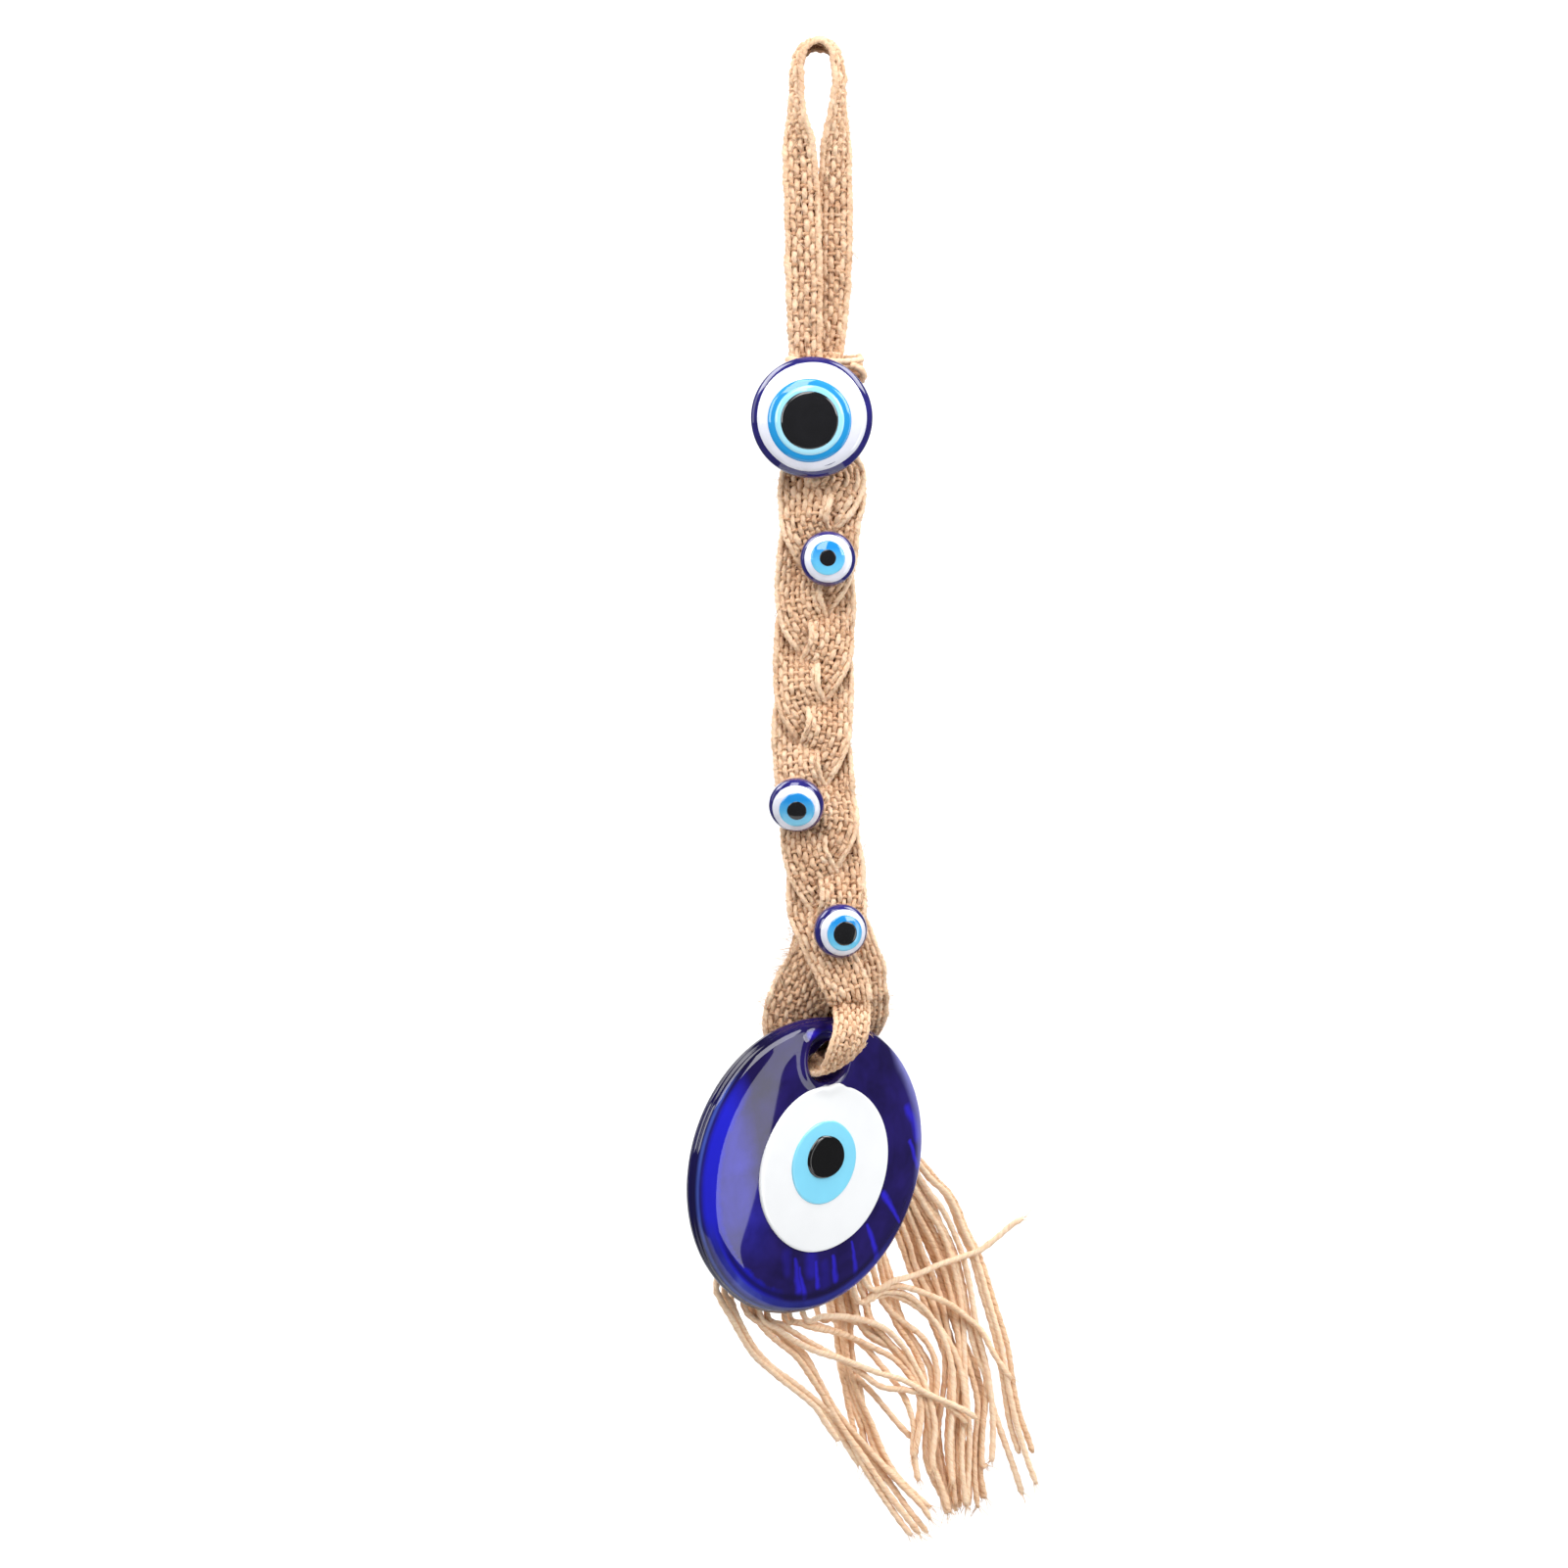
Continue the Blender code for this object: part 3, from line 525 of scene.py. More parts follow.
# ---- stage and lights ------------------------------------------------------------------------------
def soft_light(name, size, place, aim, power, size_y=None):
    l = bpy.data.lights.new(name, "AREA")
    l.shape = "RECTANGLE"
    l.size = size
    l.size_y = size_y or size
    l.energy = power
    o = bpy.data.objects.new(name, l)
    scene.collection.objects.link(o)
    o.location = place
    o.rotation_euler = (Vector(aim) - Vector(place)).to_track_quat("-Z", "Y").to_euler()
    return o


stage_mat = Nodes("stage_paper")
stage_mat.bsdf.inputs["Base Color"].default_value = (0.93, 0.93, 0.93, 1)
stage_mat.bsdf.inputs["Roughness"].default_value = 1.0
stage_mat.bsdf.inputs["Specular IOR Level"].default_value = 0.0
path = [(-0.6, -0.95), (0.45, -0.95), (0.68, -0.93), (0.86, -0.84), (0.96, -0.68), (0.98, -0.50), (0.98, 0.9)]
sweep = through(path, 40)
me = bpy.data.meshes.new("paper_sweep")
me.from_pydata([(x, y, z) for y, z in sweep for x in (-0.62, 0.62)], [], [(2 * i, 2 * i + 1, 2 * i + 3, 2 * i + 2) for i in range(len(sweep) - 1)])
me.polygons.foreach_set("use_smooth", np.ones(len(me.polygons), bool))
me.materials.append(stage_mat.m)
paper = bpy.data.objects.new("paper_sweep", me)
scene.collection.objects.link(paper)

world = bpy.data.worlds.new("studio")
scene.world = world
world.use_nodes = True
world.node_tree.nodes["Background"].inputs["Color"].default_value = (1.0, 1.0, 1.0, 1.0)
world.node_tree.nodes["Background"].inputs["Strength"].default_value = 0.13
MID = (0.0, 0.0, -0.15)
soft_light("top_softbox", 0.5, (-0.20, -0.66, 0.72), MID, 10.5, 1.1)
soft_light("left_fill", 0.6, (-1.10, -0.70, 0.25), MID, 9.5, 0.8)
soft_light("right_fill", 0.6, (0.72, -0.52, 0.35), MID, 7.8, 0.6)
soft_light("right_softbox", 0.26, (0.955, -0.357, -0.34), (0.0, 0.0, -0.2), 2.4, 0.95)
soft_light("left_rim", 0.25, (-0.95, 0.25, 0.25), MID, 0.8, 0.8)
for side in (-1, 1):
    soft_light(f"paper_light_{side}", 0.6, (side * 0.75, 0.30, 0.75), (side * 0.02, 0.98, -0.25), 9.0, 0.8)

# ---- plaited strap: the paths of its tapes ----------------------------------------------------------
PLAIT_Z0, PLAIT_L, PLAIT_A, PLAIT_B, ROLL = -125.3, 51.0, 4.85, 1.2, math.radians(25)
VIS_A, VIS_B, VIS_ROLL = 3.9, 1.45, math.radians(17)   # the soft tapes are wider and lie flatter than the solids
TURN = {"left": 0.0, "centre": 120.0, "right": 240.0}
STACKED = {"left": (0.6, 3.2), "centre": (1.2, 1.1), "right": (-1.4, -0.9)}


def middle(z):
    knots = [(-200.0, 2.6), (-186.0, 2.6), (-176.0, 2.4), (-166.0, 1.6), (-156.0, 0.6), (-146.0, -0.7), (-136.0, -1.1),
             (-126.0, -0.8), (-107.0, -0.4), (-96.0, 0.2), (-87.5, 1.1), (-60.0, 0.4)]
    for (z0, x0), (z1, x1) in zip(knots, knots[1:]):
        if z <= z1:
            f = (z - z0) / (z1 - z0)
            f = f * f * (3 - 2 * f)
            return x0 + (x1 - x0) * f
    return knots[-1][1]


def ease(x, a, b):
    f = min(max((x - a) / (b - a), 0.0), 1.0)
    return f * f * (3 - 2 * f)


def strand(which, z):
    """x, y, lean of a plait strand at height z, and how much it is in front."""
    phase = math.radians(180.0 + TURN[which]) + 2 * math.pi * (PLAIT_Z0 - min(z, -85.0)) / PLAIT_L
    x = middle(z) + VIS_A * (math.sin(phase) + 0.15 * math.sin(3 * phase))
    y = VIS_B * math.sin(2 * phase)
    lean = VIS_ROLL * math.cos(3 * phase)
    above = ease(z, -85.0, -77.5)
    sx, sy = STACKED[which]
    return x + (sx - x) * above, y + (sy - y) * above, lean * (1 - above), -math.sin(2 * phase) * (1 - above)


def strand_rows(which, top, bottom, step=1.0, width=9.6):
    rows = []
    n = int((top - bottom) / step)
    for k in range(n + 1):
        z = top + (bottom - top) * k / n
        x, y, lean, front = strand(which, z)
        w = width + 1.9 * math.exp(-((z + 87.0) / 5.5) ** 2) - 2.9 * ease(z, -85.0, -77.5)
        rows.append((x, y, z, math.cos(lean), math.sin(lean), 0.0, w, 0.35 * front))
    return rows


def woven(acc, rows, warps, r_warp, r_weft, pitch, seed, step=0.45, sides=6, edge_tone=0.25, base_tone=0.0, open_end=0.0, nudge=0.24):
    """A woven jute tape along rows of (x, y, z, way across, width, cup): straight warp yarns and one weft that goes to and fro."""
    rng = random.Random(seed)
    R = even(np.array(rows, float), step)
    P, W, width, cup = R[:, :3], R[:, 3:6], R[:, 6], R[:, 7]
    T = unit(np.gradient(P, axis=0))
    W = unit(W - T * (W * T).sum(1, keepdims=True))
    N = np.cross(T, W)      # faces the front where the tape runs down and across points right
    s = np.r_[0, np.cumsum(np.linalg.norm(np.diff(P, axis=0), axis=1))]
    amp = 0.5 * (r_warp + r_weft) * 0.72
    half = width / 2 - r_warp

    def place(u, h):
        return P + W * (u * half)[:, None] + N * (h + cup * (1 - u * u))[:, None]

    for k in range(warps):
        u0 = -1 + 2 * k / (warps - 1)
        edge = k in (0, warps - 1)
        near = k in (1, warps - 2)
        u = u0 + wobble(s, seed + k * 3.3, 4.0) * nudge * (2.0 / (warps - 1)) * (0.6 if edge else 1.0)
        h = amp * np.cos(math.pi * s / pitch + math.pi * k) * (0.25 if edge else 0.6 if near else 1.0) + 0.16 * wobble(s, seed + k, 3.0)
        r = np.maximum(r_warp, 0.47 * 2 * half / (warps - 1)) * (1.12 if edge else 1.0) * (1 + 0.18 * wobble(s, seed + 50 + k, 2.2))
        # a warp's tone: random, brighter at the edges, with painted shade where it dips under the weft and painted
        # light on its crests
        tone = base_tone + 0.52 + rng.uniform(-0.25, 0.25) + (edge_tone if edge else 0.5 * edge_tone if near else 0.0) + 0.22 * h / amp + 0.28 * wobble(s, seed + 90 + k, 5.0)
        acc.add(place(u, h), r, sides + 1, tone, lobe=0.17, pitch=3.0)
    # a dark sheet under the yarns: painted shade in the gaps between them
    acc.ribbon(P + N * 0.02, W, np.maximum(half - 0.1, 0.3), -0.9)
    # the weft
    pts = []
    count = int(s[-1] / pitch)
    for j in range(1, count):
        s0 = j * pitch + rng.uniform(-0.12, 0.12) * pitch
        slant = rng.uniform(-0.10, 0.16) * pitch
        across = np.linspace(-1, 1, max(9, warps * 2 + 1))
        if j % 2:
            across = across[::-1]
        for u in across:
            ss = s0 + slant * u + 0.5 * pitch * (abs(u) ** 6) * (1 if (u > 0) == (j % 2 == 0) else -1)
            kk = (u + 1) / 2 * (warps - 1)
            h = -amp * math.cos(math.pi * j) * math.cos(math.pi * kk)
            pts.append((min(max(ss, 0.0), s[-1]), u * 0.97, h))
    A = np.array(pts)
    cols = [np.interp(A[:, 0], s, c) for c in (*P.T, *W.T, *N.T, half, cup)]
    Pp, Ww, Nn = np.array(cols[:3]).T, np.array(cols[3:6]).T, np.array(cols[6:9]).T
    hh, cc = cols[9], cols[10]
    X = Pp + Ww * (A[:, 1] * hh)[:, None] + Nn * (A[:, 2] + cc * (1 - A[:, 1] ** 2))[:, None]
    # cut the weft into runs so that its tone varies
    run = (max(9, warps * 2 + 1)) * 3
    for q in range(0, len(X) - 2, run):
        acc.add(X[q:q + run + 1], r_weft, max(5, sides - 1), base_tone + 0.30 + rng.uniform(-0.35, 0.35), lobe=0.06, pitch=3.0)
    return P, W, N, s, half


def in_glass(q):
    """True when a hair would run through the glass disc."""
    d = q - np.array(DISC_C)
    deep = d @ np.array(DISC_N)
    out = np.linalg.norm(d - deep[:, None] * np.array(DISC_N), axis=1)
    return bool(((out < 31.5) & (deep > -3.4) & (deep < 4.4)).any())


def fuzz(acc, P, W, N, half, count, seed, reach=1.6, r=0.045):
    """Fibres of a tape: most lie along its face, the rest stand off it."""
    rng = random.Random(seed)
    m = len(P)
    for _ in range(int(count * 2.2)):
        i = rng.randrange(6, m - 6)
        u = rng.uniform(-1.0, 1.0)
        face = 1.0 if rng.random() < 0.8 else -1.0
        T = unit(P[min(i + 2, m - 1)] - P[i - 2])
        slant = rng.gauss(0.0, 0.45)
        L = rng.uniform(1.2, 4.2)
        t = np.linspace(-0.5, 0.5, 6)[:, None]
        bow = rng.uniform(-0.5, 0.5)
        lift = rng.uniform(0.40, 0.78)
        a = P[i] + W[i] * u * half[i] + N[i] * face * lift
        q = a + T * L * t + W[i] * (slant * L * t + bow * t ** 2) - N[i] * face * 0.9 * lift * (2 * t) ** 4
        thick, shade = rng.uniform(0.04, 0.085), rng.uniform(-0.1, 1.5)
        if not in_glass(q):
            acc.add(q, thick, 3, shade)
    for _ in range(count):
        i = rng.randrange(3, m - 3)
        side = rng.choice((-1, 1, 0.0, 0.4, -0.4))
        u = side if side in (-1, 1) else rng.uniform(-0.9, 0.9)
        a = P[i] + W[i] * u * (half[i] + 0.3) + N[i] * rng.uniform(0.1, 0.6)
        T = unit(P[min(i + 2, m - 1)] - P[i - 2])
        d = unit(T * rng.uniform(-1.2, 1.2) + W[i] * (u + rng.uniform(-0.6, 0.6)) + N[i] * rng.uniform(0.1, 0.8))
        L = rng.uniform(0.8, 2.6) * reach
        bend = unit(np.array([rng.uniform(-1, 1) for _ in range(3)]))
        t = np.linspace(0, 1, 7)[:, None]
        q = a + d * L * t + bend * 0.35 * L * t ** 2
        shade = rng.uniform(0.4, 1.1)
        if not in_glass(q):
            acc.add(q, np.linspace(r, r * 0.4, 7), 3, shade)


# the hanging loop
loop_rows = [
    (1.6, 2.6, -66.0, -1.0, 0.0, 0.0, 5.6, 0.0),
    (2.2, 2.2, -60.0, -1.0, 0.0, 0.0, 5.8, 0.0),
    (2.9, 2.0, -53.0, -1.0, 0.0, 0.0, 6.2, 0.0),
    (3.3, 1.8, -44.0, -1.0, -0.05, 0.0, 7.0, 0.0),
    (3.35, 1.5, -34.0, -1.0, -0.05, 0.0, 7.2, 0.0),
    (3.5, 1.1, -25.0, -1.0, -0.15, 0.0, 6.8, 0.0),
    (3.7, 0.6, -19.0, -0.95, -0.38, 0.0, 6.5, 0.0),
    (3.9, 0.2, -13.2, -0.66, -0.85, 0.0, 6.1, 0.5),
    (4.0, 0.0, -8.0, -0.36, -1.0, 0.0, 5.6, 0.9),
    (3.7, 0.0, -3.2, -0.22, -1.0, 0.12, 5.4, 1.0),
    (2.5, 0.0, 0.1, -0.1, -1.0, 0.25, 5.4, 1.1),
    (0.1, 0.0, 1.15, 0.0, -1.0, 0.30, 5.4, 1.1),
    (-2.3, 0.0, 0.0, 0.1, -1.0, 0.25, 5.4, 1.1),
    (-3.7, 0.0, -3.2, 0.22, -1.0, 0.12, 5.4, 1.0),
    (-4.0, 0.0, -8.0, 0.36, -1.0, 0.0, 5.6, 0.9),
    (-4.0, -0.1, -13.2, 0.66, -0.85, 0.0, 6.1, 0.5),
    (-3.6, -0.3, -19.0, 0.95, -0.38, 0.0, 6.9, 0.0),
    (-3.3, -0.5, -25.0, 1.0, -0.12, 0.0, 7.1, 0.0),
    (-3.0, -0.7, -34.0, 1.0, 0.0, 0.0, 7.2, 0.0),
    (-2.7, -0.9, -44.0, 1.0, 0.0, 0.0, 7.5, 0.0),
    (-2.6, -1.0, -53.0, 1.0, 0.0, 0.0, 7.0, 0.0),
    (-2.4, -0.9, -60.0, 1.0, 0.0, 0.0, 6.6, 0.0),
    (-2.0, -0.6, -66.0, 1.0, 0.0, 0.0, 6.4, 0.0),
]
acc = Yarns()
P, W, N, s, half = woven(acc, through(loop_rows, 240), 6, 0.58, 0.42, 1.6, 3, edge_tone=0.35)
fuzz(acc, P, W, N, half, 420, 4)
loop_tape = acc.build("hanging_loop_tape", JUTE_WEAVE)
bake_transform(loop_tape)
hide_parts("hanging_loop")


def strand_tape(name, rows, seed, cad, warps=9, base=0.0):
    acc = Yarns()
    P, W, N, s, half = woven(acc, rows, warps, 0.53, 0.42, 1.5, seed, base_tone=base, edge_tone=0.42)
    fuzz(acc, P, W, N, half, 420, seed + 1)
    o = acc.build(name, JUTE_WEAVE)
    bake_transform(o)
    if cad:
        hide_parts(*cad)
    return o


def by_disc(right, up, front, origin=None):
    return (KNOT if origin is None else origin) + RIGHT * right + DISC_UP * up + DISC_N * front


left = strand_rows("left", -62.0, -176.0)
left += [
    (-0.8, 1.4, -181.5, 1.0, 0.10, 0.0, 9.6, 0.0),
    (-3.2, 2.0, -186.5, 1.0, 0.20, 0.0, 9.6, 0.0),
    (-4.5, 3.0, -191.0, 1.0, 0.30, 0.0, 9.6, 0.0),
    (-5.0, 4.6, -196.0, 1.0, 0.50, 0.0, 9.0, 0.0),
    (-5.0, 7.0, -201.0, *RIGHT, 6.0, 0.0),
]
strand_tape("plait_tape_left", left, 11, ["plait_strand_left", "neck_tape_left"])
right = strand_rows("right", -62.0, -172.0)
right += [
    (7.6, 0.9, -178.0, 1.0, 0.15, 0.0, 8.4, 0.2),
    (8.9, 1.2, -183.0, 1.0, 0.20, 0.0, 9.6, 0.3),
    (9.2, 2.6, -188.0, 1.0, 0.35, 0.0, 10.2, 0.3),
    (9.1, 6.2, -192.6, 0.9, 0.60, 0.0, 10.8, 0.2),
    (8.0, 12.0, -196.6, *RIGHT, 11.0, 0.1),
    (4.0, 13.6, -200.0, *RIGHT, 9.0, 0.0),
    (-1.4, 12.2, -201.4, *RIGHT, 5.0, 0.0),
]
strand_tape("plait_tape_right", right, 12, ["plait_strand_right", "neck_tape_right"])
centre = strand_rows("centre", -60.0, -172.0)
centre += [
    (0.6, -1.6, -177.0, 1.0, 0.05, 0.0, 8.6, 0.3),
    (3.2, -2.4, -181.5, 1.0, 0.02, 0.0, 9.4, 0.5),
    (5.2, -2.9, -185.2, 1.0, 0.0, 0.0, 9.6, 0.7),
    (6.2, -2.9, -187.8, 1.0, 0.0, 0.0, 9.2, 0.6),
    (6.5, -2.2, -189.3, 1.0, 0.0, 0.0, 8.8, 0.3),
]
strand_tape("plait_tape_centre", centre, 13, ["plait_strand_centre"])
# the tape's own width opened out on the left, in front of it
wing = [
    (2.6, -0.2, -172.5, 1.0, 0.05, 0.0, 8.6, 0.1),
    (1.2, -0.3, -177.0, 1.0, 0.05, 0.0, 10.2, 0.2),
    (-0.6, -0.2, -181.8, 1.0, 0.10, 0.03, 11.0, 0.3),
    (-2.7, 0.2, -186.5, 1.0, 0.20, 0.06, 12.6, 0.4),
    (-4.4, 1.2, -191.0, 1.0, 0.32, 0.06, 13.4, 0.4),
    (-4.9, 2.5, -195.0, 1.0, 0.50, 0.0, 13.2, 0.3),
    (-5.0, 4.8, -199.0, *RIGHT, 10.0, 0.0),
]
strand_tape("neck_tape_left_spread", through(wing, 60), 15, [], warps=13, base=-0.05)
# the tails doubled back behind the neck, given a darker tone as painted shade
back_rows = [
    (1.8, 1.9, -169.0, 1.0, 0.0, 0.0, 9.0, 0.0),
    (1.7, 2.0, -176.0, 1.0, 0.0, 0.0, 13.0, 0.0),
    (1.9, 2.6, -182.0, 1.0, 0.05, 0.0, 16.4, 0.0),
    (1.7, 3.6, -188.0, 1.0, 0.20, 0.0, 20.6, 0.0),
    (0.8, 5.6, -192.6, 0.95, 0.50, 0.0, 22.0, 0.0),
    (-1.4, 8.6, -197.0, *RIGHT, 20.0, 0.0),
    (-3.4, 9.4, -201.0, *RIGHT, 11.0, 0.0),
]
strand_tape("neck_tails_behind", through(back_rows, 60), 14, [], warps=18, base=-0.45)

# the tie that goes over the rim and back through the hole
tie = [
    (5.8, 1.2, -184.6, 1.0, 0.1, 0.0, 7.0, 0.2),
    (6.3, 0.8, -187.4, 1.0, 0.15, 0.0, 7.4, 0.5),
    (6.8, -1.6, -190.6, 0.96, 0.28, 0.0, 7.6, 0.8),
    (6.7, -4.8, -194.2, 0.90, 0.44, 0.0, 7.8, 0.9),
    (5.5, -5.4, -198.0, 0.86, 0.50, 0.12, 8.2, 0.9),
    (*(HOLE + DISC_N * 5.0 - RIGHT * 0.2 - DISC_UP * 0.9), *(RIGHT + 0.30 * DISC_UP), 8.6, 0.6),
    (*(HOLE + DISC_N * 2.6 - RIGHT * 1.1 - DISC_UP * 2.0), *(RIGHT + 0.25 * DISC_UP), 7.4, 0.3),
    (*(HOLE + DISC_N * 0.8 - RIGHT * 1.0 - DISC_UP * 1.9), *RIGHT, 6.8, 0.0),
    (*(HOLE - DISC_N * 1.8 - RIGHT * 0.3 - DISC_UP * 1.2), *RIGHT, 6.4, 0.0),
    (*(HOLE - DISC_N * 4.8 - DISC_UP * 0.2), *RIGHT, 5.0, 0.0),
]
acc = Yarns()
P, W, N, s, half = woven(acc, through(tie, 90), 9, 0.46, 0.36, 1.2, 21, step=0.35, base_tone=-0.06)
fuzz(acc, P, W, N, half, 42, 22, reach=0.8)
tie_o = acc.build("tie_tape_woven", JUTE_WEAVE)
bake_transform(tie_o)
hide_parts("tie_tape")

# ---- binding under the large eye -------------------------------------------------------------------
acc = Yarns()
rng = random.Random(5)
turns = 13
pts = []
for k in range(turns * 48 + 1):
    a = 2 * math.pi * k / 48
    t = k / (turns * 48)
    c, q = math.cos(a), math.sin(a)
    rx = 7.1 + 0.25 * noise.noise(Vector((a * 0.7, 1.0, 3.0)))
    ry = 4.1 + 0.25 * noise.noise(Vector((a * 0.7, 5.0, 3.0)))
    pts.append((1.2 + rx * math.copysign(abs(c) ** 0.6, c), 1.2 + ry * math.copysign(abs(q) ** 0.6, q), -61.0 - 15.6 * t + 0.25 * math.sin(a * 0.5 + 1)))
pts = even(np.array(pts), 0.5)
acc.add(pts, 0.62, 7, 0.75, lobe=0.12, pitch=3.0)
# a second, looser turn and its tucked end
pts = [(1.2 + 7.5 * math.copysign(abs(math.cos(a)) ** 0.6, math.cos(a)), 1.2 + 4.5 * math.copysign(abs(math.sin(a)) ** 0.6, math.sin(a)), -61.4 - 1.1 * math.sin(a * 0.5)) for a in np.linspace(0.3, 2 * math.pi, 70)]
acc.add(even(np.array(pts), 0.5), 0.6, 7, 0.95, lobe=0.12, pitch=3.0)
acc.add(even(through([(6.6, -3.0, -62.8), (8.2, -3.3, -63.4), (9.1, -2.2, -64.6), (8.6, -0.8, -65.8)], 20), 0.4), 0.75, 7, 0.7, lobe=0.12, pitch=3.0)
wrap = acc.build("binding_yarn", JUTE_WEAVE)
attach(wrap, "strap")
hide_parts("binding_wrap")


# ---- eye cabochons --------------------------------------------------------------------------------------
def cab_dome(r, R, H):
    wall = 0.30 * H
    return wall + (H - wall) * math.sqrt(max(0.0, 1 - min(r / R, 1.0) ** 2))


def cab(stem, place, facing, R, H, rings, seed, shift=(0.0, 0.0)):
    """rings: (name, outer share, material), outermost first. Poured layers with slightly uneven edges."""
    m = frame_matrix(place, facing, (0, 0, 1))
    made = []
    shares = [1.0] + [s for _, s, _ in rings]
    names = ["base"] + [n for n, _, _ in rings]
    mats = [NAVY] + [q for _, _, q in rings]
    for k, (name, share, mat) in enumerate(zip(names, shares, mats)):
        inner = 0.0
        outer = share * R
        prof = []
        drop = 0.16
        if inner:
            prof += [(0.0, cab_dome(inner, R, H) - 0.5), (inner - 0.05, cab_dome(inner, R, H) - 0.5), (inner - 0.02, cab_dome(inner, R, H) - 0.08), (inner + 0.06, cab_dome(inner, R, H))]
            span = np.linspace(inner + 0.06, outer - (0.08 if k else 0.0), 14 if not k else 9)
        else:
            prof += [(0.0, H + 0.05 * k)]
            span = np.linspace(0.08 * outer, outer - 0.08, 12)
        for r in span[0 if not inner else 1:]:
            if k == 0 and r > R * 0.985:
                break
            prof.append((r, cab_dome(r, R, H) + 0.05 * k))
        if k == 0:
            for a in (12, 6, 2):
                prof.append((R * math.cos(math.radians(a)), cab_dome(R * math.cos(math.radians(a)), R, H)))
            prof += [(R, 0.30 * H), (R, 0.45), (R - 0.15, 0.12), (R - 0.5, 0.0), (0.0, 0.0)]
        else:
            prof += [(outer, cab_dome(outer, R, H) - 0.10), (outer, cab_dome(outer, R, H) - 0.45), (0.0, cab_dome(outer, R, H) - 0.45)]

        def wob(a, k=k):
            return 0.0 if k == 0 else 0.012 * noise.noise(Vector((math.cos(a) * 1.2, math.sin(a) * 1.2, seed + k * 3.1)))

        o = revolve(f"{stem}_{name}_cast", prof, mat, 96 if R > 8 else 72, wob)
        if k > 1:
            for v in o.data.vertices:
                own = math.hypot(v.co.x, v.co.y) / MM
                v.co.x += shift[0] * MM
                v.co.y += shift[1] * MM
                v.co.z += (cab_dome(math.hypot(v.co.x, v.co.y) / MM, R, H) - cab_dome(own, R, H)) * MM
        o.matrix_world = m
        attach(o, "strap")
        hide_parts(f"{stem}_{name}")
        made.append(o)
    return made


BIG_AZ = azure_material("large_azure", srgb(44, 150, 216), srgb(30, 146, 212), 0.0086)
BIG_PALE = azure_material("large_pale", srgb(150, 218, 244), srgb(172, 228, 246), 0.007)
SM_AZ = azure_material("small_azure", srgb(30, 138, 214), srgb(120, 214, 250), 0.0030)
cab("large_eye", (-1.2, -4.35, -73.3), (0, -1, 0), 12.1, 6.2,
    [("white", 0.90, R_WHITE), ("azure", 0.69, BIG_AZ), ("pale", 0.575, BIG_PALE), ("pupil", 0.48, R_BLACK)], 1, (-0.45, -0.75))
small = [("white", 0.87, R_WHITE), ("azure", 0.65, SM_AZ), ("pupil", 0.36, R_BLACK)]
small1 = [("white", 0.87, R_WHITE), ("azure", 0.63, SM_AZ), ("pupil", 0.31, R_BLACK)]
cab("small_eye_1", (2.0, -3.6, -101.3), (0.02, -1, 0.0), 5.5, 4.4, small1, 2, (-0.1, 0.1))
cab("small_eye_2", (-4.2, -3.7, -149.8), (-0.03, -1, -0.36), 5.5, 4.4, small, 3, (0.15, -0.05))
small3 = [("white", 0.87, R_WHITE), ("azure", 0.68, SM_AZ), ("pupil", 0.46, R_BLACK)]
cab("small_eye_3", (4.2, -4.3, -175.0), (0.30, -1, -0.16), 5.4, 4.4, small3, 4, (0.05, 0.0))

# the glue behind each eye
for stem, place, facing, rad, thick in (("large_eye", (-0.3, -4.35, -71.9), (0, -1, 0), 5.0, 0.35), ("small_eye_1", (2.0, -3.6, -101.3), (0.02, -1, 0.0), 2.2, 0.5),
                                        ("small_eye_2", (-4.2, -3.7, -149.8), (-0.03, -1, -0.36), 2.2, 0.5), ("small_eye_3", (4.2, -4.3, -175.0), (0.30, -1, -0.16), 2.2, 0.5)):
    prof = [(0.0, -0.1), (rad * 0.7, -0.1), (rad * 0.9, -0.12), (rad, -0.3 - 0.3 * thick), (rad * 0.9, -0.3 - 0.8 * thick), (rad * 0.7, -0.3 - thick), (0.0, -0.3 - thick)]
    o = revolve(f"{stem}_glue_dab", prof, GLUE, 40, lambda a, q=rad: 0.07 * noise.noise(Vector((math.cos(a) * 1.7, math.sin(a) * 1.7, q + 9.0))))
    o.matrix_world = frame_matrix(place, facing, (0, 0, 1))
    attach(o, "strap")
    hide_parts(f"{stem}_glue")

# ---- glass eye disc -----------------------------------------------------------------------------------------
disc_m = frame_matrix(DISC_C, DISC_N, DISC_UP)


def fillet(d, rho):
    d = np.clip(d, 0, rho)
    return rho - np.sqrt(np.maximum(0.0, rho ** 2 - (rho - d) ** 2))


def front_z(x, y):
    r = np.hypot(x, y)
    d = DISC_R - r
    dh = np.hypot(x, y - HOLE_UP) - HOLE_R
    z = DISC_EDGE + DISC_DOME * (1 - (r / DISC_R) ** 2)
    z = z + 0.30 * np.exp(-((dh - 1.3) / 1.0) ** 2)
    z = z - fillet(d, 1.5) * 0.9 - 0.9 * np.exp(-(d / 2.6) ** 2) * 0.8 - fillet(dh, 1.1) * 0.9
    return z


def back_z(x, y):
    r = np.hypot(x, y)
    d = DISC_R - r
    dh = np.hypot(x, y - HOLE_UP) - HOLE_R
    return -2.2 + fillet(d, 0.9) * 0.9 + fillet(dh, 0.9) * 0.8


SEG = 220
t = np.linspace(0, 1, 46)
up_in = 0.5 * (t ** 2.6)
out_in = 1 - 0.5 * (t[::-1] ** 3.0)
S = np.unique(np.r_[up_in, out_in])
ang = np.linspace(0, 2 * math.pi, SEG, endpoint=False)
rings = []
wave = 1 + 0.004 * np.sin(2 * ang + 1.0) + 0.003 * np.sin(3 * ang)


